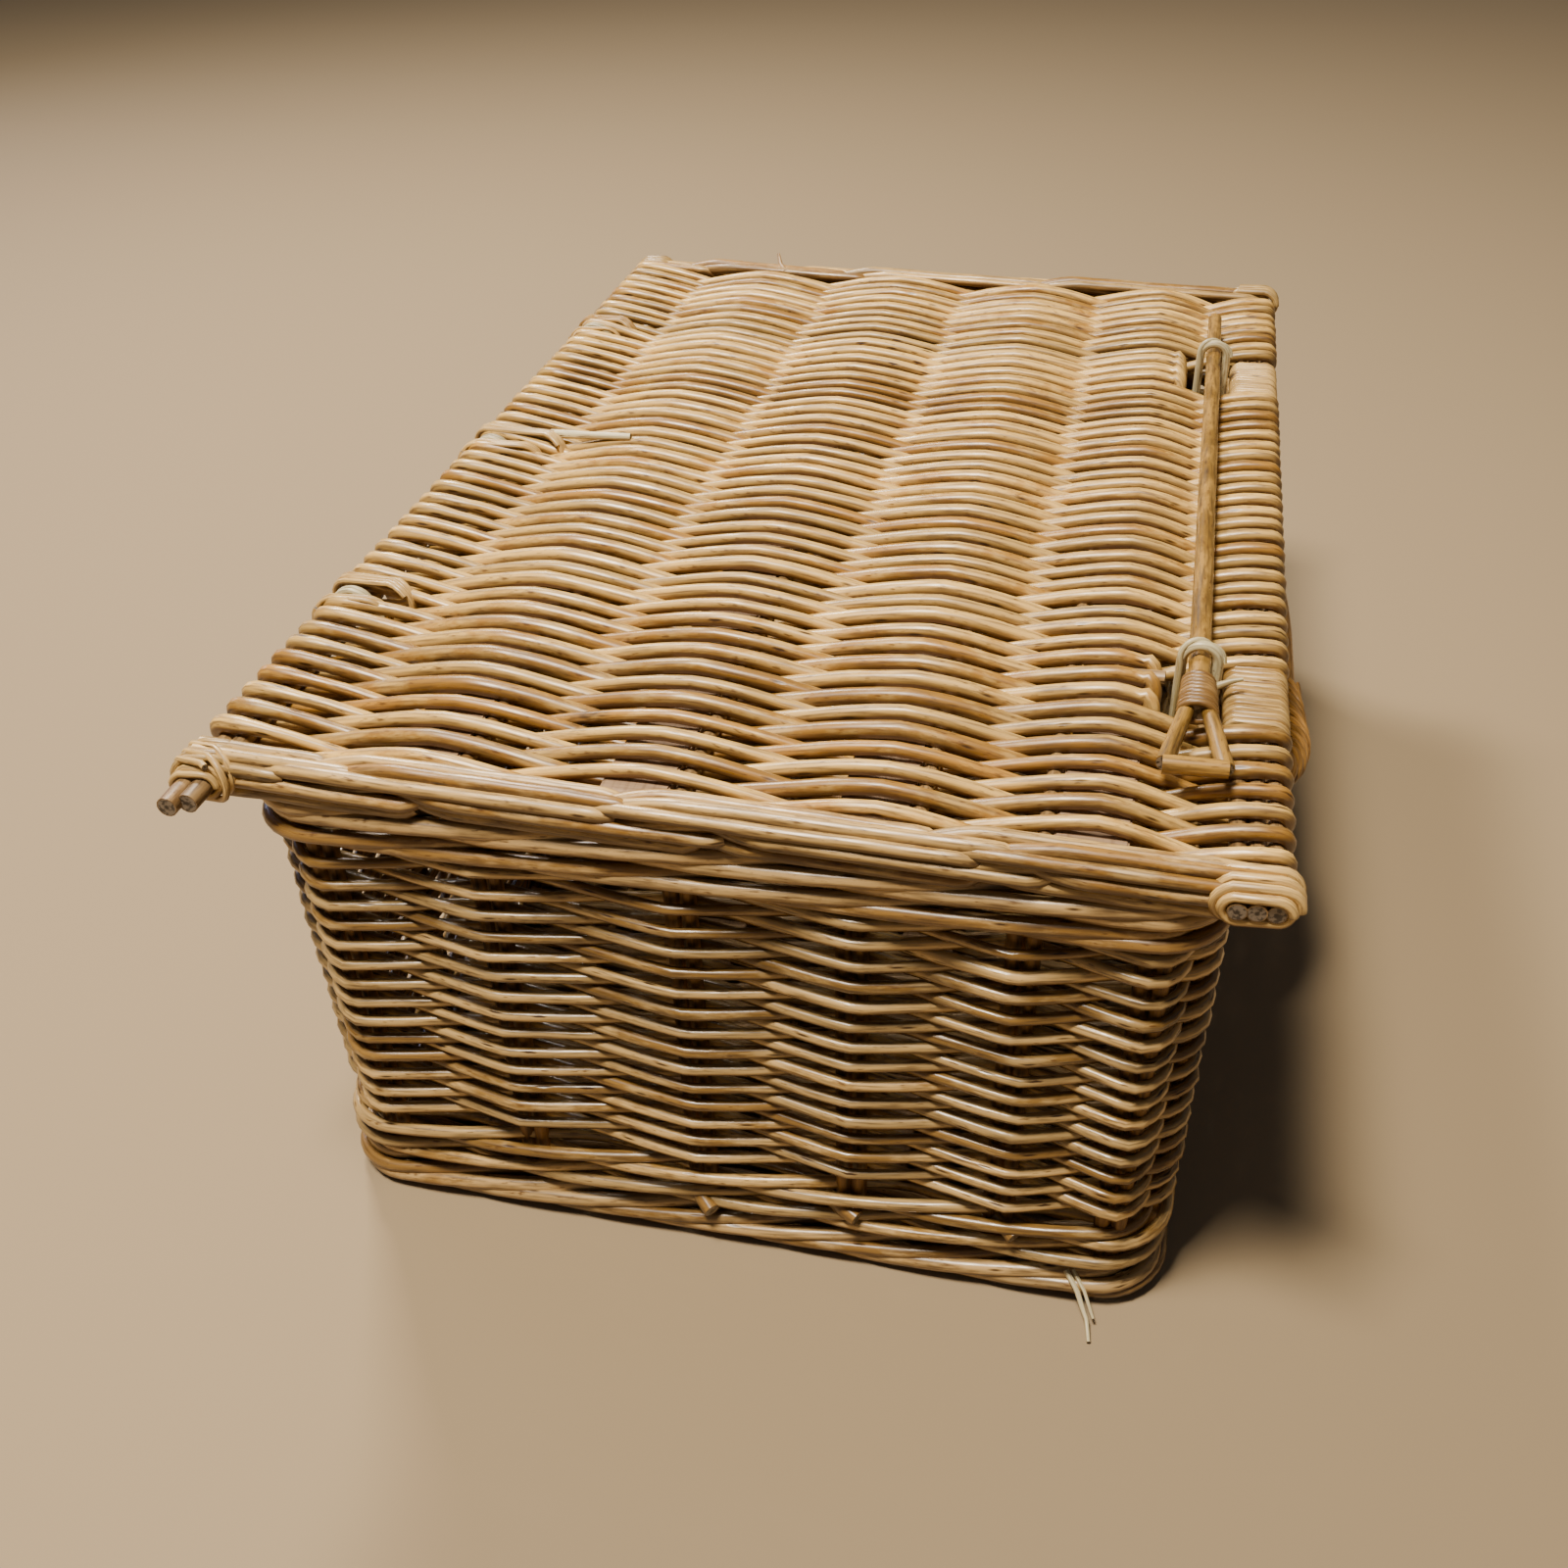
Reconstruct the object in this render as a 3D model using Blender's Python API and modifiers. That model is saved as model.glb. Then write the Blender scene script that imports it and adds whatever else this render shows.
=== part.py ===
"""Rectangular willow laundry hamper with a hinged lid and a sliding locking rod.

Metres, +Z up.  +X points to the front (rod, rings and handle), +Y to the far end.
Each solid is the outer shape of one group of willow rods or of one stick, lath or cane.
"""
import math

import bmesh
import bpy
from mathutils import Vector

# Overall sizes
LID_WIDTH = 0.440           # back edge to front edge of the lid
LID_LENGTH = 0.650          # over both end wales of the lid
WEAVE_WIDTH = 0.400         # outside of the wall weave just under the border
WEAVE_LENGTH = 0.640
RIM_HEIGHT = 0.2345         # floor to the top of the border
TAPER = 0.005               # how far each wall leans in between rim and floor
CORNER_RADIUS = 0.028
GAP = 0.0003                # air kept between neighbouring solids

# Walls, borders and base
WALL_DEPTH = 0.015
BORDER_PROUD = 0.004        # borders stand this far outside the weave
BORDER_DEPTH = 0.024
BORDER_HEIGHT = 0.0245
BORDER_ROUNDING = 0.004
FOOT_HEIGHT = 0.018
BASE_DEPTH = 0.011          # the base weave's top is level with the foot border
BASE_LATH_WIDTH = 0.030
BASE_LATH_DEPTH = 0.006
BASE_LATHS = (-0.060, 0.060)

# Stakes stand in pairs inside the wall weave
STAKE_RADIUS = 0.0036
STAKE_PITCH = 0.0070
END_PAIRS = (-0.855, -0.49, -0.07, 0.285, 0.625, 0.875)   # share of the half width
SIDE_PAIR_COUNT = 8
SIDE_PAIR_REACH = 0.91      # share of the half length at the outermost pair

# Lid
LID_DEPTH = 0.020
LID_EDGE_ROUNDING = 0.008
WALE_WIDTH = 0.018          # the bundled rods that close each end of the lid
LATH_WIDTH = 0.028
LATH_DEPTH = 0.006
LID_LATHS = (-0.125, -0.032, 0.062, 0.146)
STICK_RADIUS = 0.0037
STICK_PITCH = 0.0068
EDGE_COVER = 0.0035         # weavers outside the outermost edge stick
FRONT_STICKS = 3
HINGE_STICKS = 2
HINGE_STICK_PROUD = 0.012   # the hinge sticks run on past the near wale

# Hinge ties and lock
TIE_PLACES = (-0.182, -0.002, 0.180)
TIE_RADIUS = 0.0018
TIE_NOTCH_GAP = 0.0008      # play between a tie and the notch it turns in, each side
TIE_CLEARANCE = 0.0009      # air between a tie's cane and the hinge sticks
TIE_FOOT_IN = 0.0071        # centre of a tie's lower bend, in from the border's outer face
TIE_FOOT_DOWN = 0.0112      # and below the rim
RING_PLACES = (-0.188, 0.166)
RING_RADIUS = 0.0085        # middle of the cane, at the round top of the ring
RING_CANE = 0.0019
RING_FOOT = 0.0090          # centre of the ring's lower bend, below the rim
SLOT_WIDTH = 0.0255
SLOT_LENGTH = 0.050
ROD_X = 0.181
ROD_RADIUS = 0.0045
ROD_TIP_RADIUS = 0.0041
ROD_TIP = 0.232
ROD_NECK = -0.232           # where the rod opens into its pull loop
BINDING_RADIUS = 0.0064
BINDING_LENGTH = 0.028
LOOP_RADIUS = 0.0034
LOOP_LENGTH = 0.034
LOOP_WIDTH = 0.023
LIFT = 0.0004               # binding above the lid

# Handle on the front wall
HANDLE_RADIUS = 0.0070
HANDLE_SPAN = 0.230
HANDLE_CENTRE = -0.030
HANDLE_REACH = 0.042
HANDLE_BELOW_BORDER = 0.032
HANDLE_DROOP = 0.012

# Worked out from the sizes above
LID_UNDER = RIM_HEIGHT + GAP
LID_TOP = LID_UNDER + LID_DEPTH
LID_MIDDLE = (LID_UNDER + LID_TOP) / 2
WALE_INNER = LID_LENGTH / 2 - WALE_WIDTH
HINGE_STICKS_HALF = STICK_RADIUS + (HINGE_STICKS - 1) * STICK_PITCH / 2
HINGE_X = -LID_WIDTH / 2 + EDGE_COVER + HINGE_STICKS_HALF
FRONT_STICKS_X = LID_WIDTH / 2 - EDGE_COVER - STICK_RADIUS - (FRONT_STICKS - 1) * STICK_PITCH / 2
BORDER_UNDER = RIM_HEIGHT - BORDER_HEIGHT
ROD_Z = LID_TOP + LIFT + BINDING_RADIUS
TIE_REACH = HINGE_STICKS_HALF + TIE_CLEARANCE + TIE_RADIUS      # middle of the cane
TIE_FOOT = Vector((TIE_FOOT_IN - WEAVE_WIDTH / 2 - BORDER_PROUD, 0.0, RIM_HEIGHT - TIE_FOOT_DOWN))
TIE_DROP = TIE_FOOT - Vector((HINGE_X, 0.0, LID_MIDDLE))
HANDLE_Z = BORDER_UNDER - HANDLE_BELOW_BORDER
SIDES = {"near": -90, "front": 0, "far": 90, "back": 180}      # degrees, outward direction

HAMPER = bpy.data.collections.new("laundry_hamper")
CUTTERS = bpy.data.collections.new("cutters")


def clear_scene():
    for obj in list(bpy.data.objects):
        bpy.data.objects.remove(obj, do_unlink=True)
    bpy.context.scene.collection.children.link(HAMPER)
    bpy.context.scene.collection.children.link(CUTTERS)


def material(name, colour, roughness):
    mat = bpy.data.materials.new(name)
    mat.use_nodes = True
    shader = mat.node_tree.nodes["Principled BSDF"]
    shader.inputs["Base Color"].default_value = (*colour, 1.0)
    shader.inputs["Roughness"].default_value = roughness
    shader.inputs["Metallic"].default_value = 0.0
    return mat


def empty(name, place, parent=None):
    """A body's frame, at its joint's axis."""
    obj = bpy.data.objects.new(name, None)
    obj.location = place
    obj.parent = parent
    HAMPER.objects.link(obj)
    return obj


def finish(obj, mat, parent, pivot=Vector((0, 0, 0))):
    """Give a part its material and hang it on its body's empty."""
    obj.data.materials.clear()
    obj.data.materials.append(mat)
    obj.parent = parent
    obj.location = obj.location - pivot
    return obj


def as_cutter(obj, parent):
    HAMPER.objects.unlink(obj)
    CUTTERS.objects.link(obj)
    obj.parent = parent
    obj.hide_render = True
    obj.display_type = "WIRE"
    return obj


def boolean(target, other, operation="DIFFERENCE"):
    mod = target.modifiers.new(operation.lower(), "BOOLEAN")
    mod.operation = operation
    mod.solver = "EXACT"
    mod.object = other


def loft(name, ring_a, ring_b):
    """A closed solid between two outlines with the same number of points."""
    bm = bmesh.new()
    low = [bm.verts.new(p) for p in ring_a]
    high = [bm.verts.new(p) for p in ring_b]
    count = len(low)
    bm.faces.new(list(reversed(low)))
    bm.faces.new(high)
    for i in range(count):
        j = (i + 1) % count
        bm.faces.new((low[i], low[j], high[j], high[i]))
    bmesh.ops.recalc_face_normals(bm, faces=bm.faces)
    mesh = bpy.data.meshes.new(name)
    bm.to_mesh(mesh)
    bm.free()
    obj = bpy.data.objects.new(name, mesh)
    HAMPER.objects.link(obj)
    return obj


def along_y(name, outline, near, far):
    """An outline in X and Z drawn out along Y."""
    return loft(name, [(x, near, z) for x, z in outline], [(x, far, z) for x, z in outline])


def rectangle(width, height, x, z):
    w = width / 2
    h = height / 2
    return [(x - w, z - h), (x + w, z - h), (x + w, z + h), (x - w, z + h)]


def rounded_rectangle(width, height, radius, steps=3):
    points = []
    for corner in range(4):
        start = corner * math.pi / 2
        sx = 1 if corner in (0, 3) else -1
        sy = 1 if corner in (0, 1) else -1
        for i in range(steps + 1):
            angle = start + i * math.pi / 2 / steps
            points.append((sx * (width / 2 - radius) + radius * math.cos(angle),
                           sy * (height / 2 - radius) + radius * math.sin(angle)))
    return points


def stick_row(count, radius, pitch, steps=5):
    """Outline of round sticks that lie side by side, grown into each other a little."""
    meet = math.acos(pitch / 2 / radius)
    centres = [(i - (count - 1) / 2) * pitch for i in range(count)]
    upper = []
    for i, centre in enumerate(centres):
        start = math.pi if i == 0 else math.pi - meet
        end = 0.0 if i == count - 1 else meet
        for k in range(steps + 1):
            if i > 0 and k == 0:
                continue
            angle = start + (end - start) * k / steps
            upper.append((centre + radius * math.cos(angle), radius * math.sin(angle)))
    lower = [(u, -v) for u, v in reversed(upper[1:-1])]
    return list(reversed(upper + lower))


def tube(name, points, radius, radii=None, cyclic=False):
    curve = bpy.data.curves.new(name, "CURVE")
    curve.dimensions = "3D"
    curve.bevel_depth = radius
    curve.bevel_resolution = 2
    curve.use_fill_caps = not cyclic
    spline = curve.splines.new("POLY")
    spline.points.add(len(points) - 1)
    for i, point in enumerate(points):
        spline.points[i].co = (*point, 1.0)
        spline.points[i].radius = radii[i] if radii else 1.0
    spline.use_cyclic_u = cyclic
    obj = bpy.data.objects.new(name, curve)
    HAMPER.objects.link(obj)
    return obj


def curve_to_mesh(obj):
    """Replace a curve by its mesh, with the caps welded on, so that it can be cut or joined."""
    name = obj.name
    graph = bpy.context.evaluated_depsgraph_get()
    mesh = bpy.data.meshes.new_from_object(obj.evaluated_get(graph))
    bm = bmesh.new()
    bm.from_mesh(mesh)
    bmesh.ops.remove_doubles(bm, verts=bm.verts, dist=0.00001)
    bm.to_mesh(mesh)
    bm.free()
    solid = bpy.data.objects.new(name + "_solid", mesh)
    solid.matrix_world = obj.matrix_world
    bpy.data.objects.remove(obj, do_unlink=True)
    solid.name = name
    HAMPER.objects.link(solid)
    return solid


def soften(obj, width, segments=2, angle=50):
    mod = obj.modifiers.new("rounded_edges", "BEVEL")
    mod.width = width
    mod.segments = segments
    mod.limit_method = "ANGLE"
    mod.angle_limit = math.radians(angle)


# Walls and borders

def lean(z):
    """How far the weave stands inside its rim size at height z."""
    return TAPER * (1 - z / RIM_HEIGHT)


def half_sizes(side, z, proud=0.0):
    """Distance to the outer face, and half the length along it."""
    x = WEAVE_WIDTH / 2 - lean(z) + proud
    y = WEAVE_LENGTH / 2 - lean(z) + proud
    return (x, y) if side in ("front", "back") else (y, x)


def on_side(side, out, along, z):
    angle = math.radians(SIDES[side])
    return (out * math.cos(angle) - along * math.sin(angle),
            out * math.sin(angle) + along * math.cos(angle), z)


def side_ring(side, z, depth, proud=0.0):
    """Plan of one mitred side with half of a rounded corner at each end."""
    out, along = half_sizes(side, z, proud)
    radius = CORNER_RADIUS + proud
    steps = 3
    end = []
    for i in range(steps + 1):
        angle = math.radians(45) * i / steps
        end.append((out - radius + radius * math.cos(angle),
                    along - radius + radius * math.sin(angle)))
    end[-1] = (end[-1][0], end[-1][1] - GAP)
    end.append((out - depth, along - depth - GAP))
    other = [(u, -v) for u, v in reversed(end)]
    return [on_side(side, u, v, z) for u, v in end + other]


def side_bar(name, side, z0, z1, depth, proud=0.0):
    return loft(name, side_ring(side, z0, depth, proud), side_ring(side, z1, depth, proud))


def pair_shares(side):
    if side in ("near", "far"):
        return END_PAIRS
    step = 2 * SIDE_PAIR_REACH / (SIDE_PAIR_COUNT - 1)
    return [-SIDE_PAIR_REACH + i * step for i in range(SIDE_PAIR_COUNT)]


def stake_pair(name, side, share, z0, z1, clearance=0.0):
    rings = []
    for z in (z0, z1):
        out, along = half_sizes(side, z)
        outline = stick_row(2, STAKE_RADIUS + clearance, STAKE_PITCH)
        rings.append([on_side(side, out - WALL_DEPTH / 2 + v, along * share + u, z)
                      for u, v in outline])
    return loft(name, *rings)


def make_walls(basket, mats):
    low = FOOT_HEIGHT + GAP
    high = BORDER_UNDER - GAP
    for side in SIDES:
        wall = side_bar(side + "_wall_weave", side, low, high, WALL_DEPTH)
        finish(wall, mats["wall"], basket)
        for i, share in enumerate(pair_shares(side), start=1):
            name = f"{side}_stake_pair_{i}"
            cutter = stake_pair("hole_for_" + name, side, share, low - GAP, high + GAP, GAP)
            boolean(wall, as_cutter(cutter, basket))
            finish(stake_pair(name, side, share, low, high), mats["stake"], basket)


def make_borders(basket, mats):
    borders = {}
    for side in SIDES:
        foot = side_bar(side + "_foot_border", side, 0.0, FOOT_HEIGHT, BORDER_DEPTH, BORDER_PROUD)
        top = side_bar(side + "_top_border", side, BORDER_UNDER, RIM_HEIGHT, BORDER_DEPTH,
                       BORDER_PROUD)
        for bar in (foot, top):
            soften(bar, BORDER_ROUNDING)
            finish(bar, mats["border"], basket)
        borders[side] = top
    return borders


def make_base(basket, mats):
    x = WEAVE_WIDTH / 2 - TAPER + BORDER_PROUD - BORDER_DEPTH - GAP
    y = WEAVE_LENGTH / 2 - TAPER + BORDER_PROUD - BORDER_DEPTH - GAP
    middle = FOOT_HEIGHT - BASE_DEPTH / 2
    base = along_y("base_weave", rectangle(2 * x, BASE_DEPTH, 0, middle), -y, y)
    finish(base, mats["base"], basket)
    for i, place in enumerate(BASE_LATHS, start=1):
        hole = rectangle(BASE_LATH_WIDTH + 2 * GAP, BASE_LATH_DEPTH + 2 * GAP, place, middle)
        boolean(base, as_cutter(along_y(f"hole_for_base_lath_{i}", hole, -y - GAP, y + GAP), basket))
        lath = along_y(f"base_lath_{i}", rectangle(BASE_LATH_WIDTH, BASE_LATH_DEPTH, place, middle),
                       -y, y)
        finish(lath, mats["lath"], basket)


# Lid

def shifted(outline, x, z):
    return [(x + u, z + v) for u, v in outline]


def lid_inserts():
    """What runs through the lid: name, its outline, the hole's outline, overrun and material."""
    found = []
    for i, place in enumerate(LID_LATHS, start=1):
        outlines = [rectangle(LATH_WIDTH + c, LATH_DEPTH + c, place, LID_MIDDLE)
                    for c in (0, 2 * GAP)]
        found.append((f"lid_lath_{i}", *outlines, 0.0, "lath"))
    rows = (("lid_front_sticks", FRONT_STICKS, FRONT_STICKS_X, 0.0),
            ("lid_hinge_sticks", HINGE_STICKS, HINGE_X, HINGE_STICK_PROUD))
    for name, count, x, overrun in rows:
        outlines = [shifted(stick_row(count, STICK_RADIUS + c, STICK_PITCH), x, LID_MIDDLE)
                    for c in (0, GAP)]
        found.append((name, *outlines, overrun, "stick"))
    return found


def make_lid(basket, lid, pivot, mats):
    section = shifted(rounded_rectangle(LID_WIDTH, LID_DEPTH, LID_EDGE_ROUNDING), 0, LID_MIDDLE)
    weave = along_y("lid_weave", section, -WALE_INNER + GAP, WALE_INNER - GAP)
    near = along_y("lid_near_wale", section, -LID_LENGTH / 2, -WALE_INNER)
    far = along_y("lid_far_wale", section, WALE_INNER, LID_LENGTH / 2)
    for obj, slot in ((weave, "lid"), (near, "wale"), (far, "wale")):
        finish(obj, mats[slot], lid, pivot)
    end = LID_LENGTH / 2
    for name, outline, hole, overrun, slot in lid_inserts():
        cutter = as_cutter(along_y("hole_for_" + name, hole, -2 * end, 2 * end), basket)
        for obj in (weave, near, far):
            boolean(obj, cutter)
        finish(along_y(name, outline, -end - overrun, end), mats[slot], lid, pivot)
    for i, place in enumerate(RING_PLACES, start=1):
        hole = rectangle(SLOT_WIDTH, 2 * LID_DEPTH, ROD_X, LID_MIDDLE)
        slot = along_y(f"ring_slot_{i}", hole, place - SLOT_LENGTH / 2, place + SLOT_LENGTH / 2)
        boolean(weave, as_cutter(slot, basket))
    return weave


# Rings, ties, rod and handle

def hoop_points(top, bottom, radius, steps=8):
    """A closed loop in the XZ plane round two centres."""
    way = (top - bottom).normalized()
    across = Vector((way.z, 0, -way.x))
    points = []
    for centre, turn in ((top, 0.0), (bottom, math.pi)):
        for i in range(steps + 1):
            angle = turn + math.pi * i / steps
            points.append(centre + radius * (math.cos(angle) * across + math.sin(angle) * way))
    return points


def make_rings(basket, border, mats):
    for i, place in enumerate(RING_PLACES, start=1):
        top = Vector((ROD_X, place, ROD_Z))
        bottom = Vector((ROD_X, place, RIM_HEIGHT - RING_FOOT))
        points = hoop_points(top, bottom, RING_RADIUS)
        finish(tube(f"lock_ring_{i}", points, RING_CANE, cyclic=True), mats["cane"], basket)
        cutter = tube(f"hole_for_ring_{i}", points, RING_CANE + 2 * GAP, cyclic=True)
        boolean(border, as_cutter(curve_to_mesh(cutter), basket))


def make_ties(basket, border, weave, mats):
    """Cane hoops round the hinge sticks and the border; the lid is notched so that it can turn."""
    notch_depth = LID_DEPTH / 2 + TIE_NOTCH_GAP
    slant = TIE_DROP.x / -TIE_DROP.z
    notch_end = HINGE_X + notch_depth * slant + (TIE_REACH + TIE_RADIUS) / -TIE_DROP.normalized().z
    notch_start = -LID_WIDTH / 2 - GAP
    for i, place in enumerate(TIE_PLACES, start=1):
        top = Vector((HINGE_X, place, LID_MIDDLE))
        points = hoop_points(top, top + TIE_DROP, TIE_REACH)
        finish(tube(f"hinge_tie_{i}", points, TIE_RADIUS, cyclic=True), mats["cane"], basket)
        cutter = curve_to_mesh(tube(f"hole_for_tie_{i}", points, TIE_RADIUS + 2 * GAP, cyclic=True))
        boolean(border, as_cutter(cutter, basket))
        hole = rectangle(notch_end - notch_start, 2 * LID_DEPTH, (notch_start + notch_end) / 2,
                         LID_MIDDLE)
        width = TIE_RADIUS + TIE_NOTCH_GAP
        notch = along_y(f"notch_for_tie_{i}", hole, place - width, place + width)
        boolean(weave, as_cutter(notch, basket))


def make_rod(guide, start, mats):
    steps = 8
    length = ROD_TIP - ROD_NECK
    points = [Vector((ROD_X, ROD_NECK + length * i / steps, ROD_Z)) for i in range(steps + 1)]
    radii = [1 + (ROD_TIP_RADIUS / ROD_RADIUS - 1) * i / steps for i in range(steps + 1)]
    rod = curve_to_mesh(tube("locking_rod", points, ROD_RADIUS, radii))
    apex = Vector((ROD_X, ROD_NECK, ROD_Z))
    half = LOOP_WIDTH / 2
    corners = ((0, 0.002), (-half * 0.85, -LOOP_LENGTH * 0.8), (-half, -LOOP_LENGTH * 0.93),
               (-half * 0.8, -LOOP_LENGTH), (half * 0.8, -LOOP_LENGTH),
               (half, -LOOP_LENGTH * 0.93), (half * 0.85, -LOOP_LENGTH * 0.8))
    loop = tube("pull_loop", [apex + Vector((x, y, 0)) for x, y in corners], LOOP_RADIUS,
                cyclic=True)
    loop = as_cutter(curve_to_mesh(loop), guide)
    loop.location = loop.location - start
    boolean(rod, loop, "UNION")
    finish(rod, mats["rod"], guide, start)

    inner = ROD_RADIUS + GAP
    mesh = bpy.data.meshes.new("rod_binding")
    profile = ((inner, 0), (inner, BINDING_LENGTH), (BINDING_RADIUS, BINDING_LENGTH),
               (BINDING_RADIUS, 0))
    mesh.from_pydata([(r, 0, z) for r, z in profile], [(0, 1), (1, 2), (2, 3), (3, 0)], [])
    binding = bpy.data.objects.new("rod_binding", mesh)
    HAMPER.objects.link(binding)
    screw = binding.modifiers.new("turned", "SCREW")
    screw.steps = 16
    screw.render_steps = 16
    screw.use_merge_vertices = True
    screw.merge_threshold = 0.00001
    binding.location = (ROD_X, ROD_NECK + 0.003 + BINDING_LENGTH, ROD_Z)
    binding.rotation_euler = (math.radians(90), 0, 0)
    finish(binding, mats["cane"], guide, start)


def handle_foot():
    """Where the handle's ends meet the front wall."""
    return half_sizes("front", HANDLE_Z + HANDLE_RADIUS)[0] + GAP


def make_handle(basket, mats):
    wall = handle_foot()
    out = wall + HANDLE_RADIUS / 2
    steps = 14
    points = [Vector((wall, HANDLE_CENTRE - HANDLE_SPAN / 2, HANDLE_Z))]
    for i in range(steps + 1):
        t = i / steps
        bow = math.sin(math.pi * t)
        points.append(Vector((out + HANDLE_REACH * bow ** 0.6,
                              HANDLE_CENTRE + HANDLE_SPAN * (t - 0.5),
                              HANDLE_Z - HANDLE_DROOP * bow)))
    points.append(Vector((wall, HANDLE_CENTRE + HANDLE_SPAN / 2, HANDLE_Z)))
    finish(tube("front_handle", points, HANDLE_RADIUS), mats["handle"], basket)


def main():
    clear_scene()
    mats = {
        "wall": material("willow_wall", (0.52, 0.36, 0.17), 0.5),
        "border": material("willow_border", (0.55, 0.38, 0.19), 0.5),
        "stake": material("willow_stake", (0.42, 0.25, 0.10), 0.5),
        "base": material("willow_base", (0.50, 0.35, 0.18), 0.6),
        "lath": material("sawn_lath", (0.55, 0.42, 0.27), 0.8),
        "stick": material("willow_stick", (0.50, 0.40, 0.28), 0.6),
        "lid": material("willow_lid", (0.66, 0.49, 0.30), 0.5),
        "wale": material("willow_wale", (0.60, 0.44, 0.25), 0.5),
        "cane": material("cane", (0.72, 0.60, 0.36), 0.45),
        "rod": material("brown_willow", (0.36, 0.19, 0.07), 0.4),
        "handle": material("willow_rope", (0.50, 0.32, 0.13), 0.5),
    }
    front = handle_foot() + HANDLE_REACH + 1.5 * HANDLE_RADIUS
    back = max(LID_WIDTH / 2, TIE_REACH + TIE_RADIUS - HINGE_X)
    centre = Vector(((back - front) / 2, HINGE_STICK_PROUD / 2, 0))
    basket = empty("basket_frame", centre)
    pivot = Vector((HINGE_X, 0, LID_MIDDLE))
    lid = empty("lid_pivot", pivot, basket)
    start = Vector((ROD_X, ROD_TIP, ROD_Z))
    guide = empty("rod_guide", start, basket)
    borders = make_borders(basket, mats)
    make_walls(basket, mats)
    make_base(basket, mats)
    weave = make_lid(basket, lid, pivot, mats)
    make_rings(basket, borders["front"], mats)
    make_ties(basket, borders["back"], weave, mats)
    make_rod(guide, start, mats)
    make_handle(basket, mats)


main()
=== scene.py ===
"""Looks of a willow laundry hamper: every woven rod, stick and skein of cane is its own sweep, and
each lath a bevelled strip.
"""
import math

import bmesh
import bpy
import numpy as np
from mathutils import Matrix, Vector


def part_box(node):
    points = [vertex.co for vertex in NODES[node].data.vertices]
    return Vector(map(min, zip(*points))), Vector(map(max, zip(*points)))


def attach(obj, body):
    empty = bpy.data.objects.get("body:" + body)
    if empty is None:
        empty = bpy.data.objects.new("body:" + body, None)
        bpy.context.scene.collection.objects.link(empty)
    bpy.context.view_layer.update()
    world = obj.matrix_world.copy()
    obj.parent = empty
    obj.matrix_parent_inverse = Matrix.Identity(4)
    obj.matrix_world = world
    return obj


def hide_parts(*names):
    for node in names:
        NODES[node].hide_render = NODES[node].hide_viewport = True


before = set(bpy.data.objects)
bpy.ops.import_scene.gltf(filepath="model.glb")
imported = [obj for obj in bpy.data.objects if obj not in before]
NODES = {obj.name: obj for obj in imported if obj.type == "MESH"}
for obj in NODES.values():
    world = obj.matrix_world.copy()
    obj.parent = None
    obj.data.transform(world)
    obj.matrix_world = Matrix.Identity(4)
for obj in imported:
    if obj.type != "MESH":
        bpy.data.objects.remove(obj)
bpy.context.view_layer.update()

MM = 0.001
SIDES = ("near", "front", "far", "back")
UP = np.array((0.0, 0.0, 1.0))
chance = np.random.default_rng(29)

# Rods, canes and skeins, as radii; a pair is the butt and the tip
LID_ROD = (4.05 * MM, 3.2 * MM)
LID_ROWS = 90
WALL_ROD = (3.05 * MM, 2.35 * MM)
WALL_ROWS = 28
WALL_PITCH = 5.7 * MM
WALL_WAVE = 7.4 * MM                    # how far a weaver swings to either side of its stakes
BORDER_ROD = 3.8 * MM
FOOT_ROD = 3.5 * MM
UPSETT_ROD = 3.0 * MM
BASE_ROD = 2.5 * MM
BASE_STICK = 2.9 * MM
RIB_STICK = 3.3 * MM
WALE_ROD = 3.4 * MM
WALE_CORE = 3.1 * MM
EDGE_ROD = 3.2 * MM                     # a weaver is pressed thinner where it turns the front edge
BACK_EDGE_ROD = 4.0 * MM                # and is thick where it turns the back edge
STUB = 4.0 * MM
RING_CANE = 2.3 * MM
RING_SKEIN = 1.3 * MM
TIE_CANE = 1.5 * MM
SLOT_SKEIN = 1.75 * MM
LOOP_SKEIN = 1.6 * MM
LOCK_ROD = (4.6 * MM, 4.1 * MM)
LOOP_LEG = (3.2 * MM, 3.7 * MM)
LOOP_BAR = (3.9 * MM, 3.6 * MM)
HANDLE_CORE = 3.9 * MM
HANDLE_STRAND = 2.0 * MM

CORNER = 21 * MM                        # the middle of the walls turns each corner on this radius
GRAIN = 3 * MM                          # unit of the skin patterns' runs along a rod
RUN_SPREAD = 40                         # each rod's pattern starts up to this many units in
CUT_EDGE = math.radians(62)             # the rim of a cut end is sharper than this
SKIN_SEED = 3.0


# Places, read from the frame

def box_of(*names):
    """Low and high corner of several nodes together."""
    boxes = [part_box(name) for name in names]
    low = Vector([min(b[0][i] for b in boxes) for i in range(3)])
    high = Vector([max(b[1][i] for b in boxes) for i in range(3)])
    return low, high


def middle(name):
    """Centre of a node's box."""
    low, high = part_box(name)
    return (low + high) / 2


def slice_centre(name, top):
    """Centre of the highest or lowest end face of a node."""
    co = np.array([v.co for v in NODES[name].data.vertices])
    end = co[:, 2].max() if top else co[:, 2].min()
    return co[np.abs(co[:, 2] - end) < 0.1 * MM].mean(0)


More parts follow.
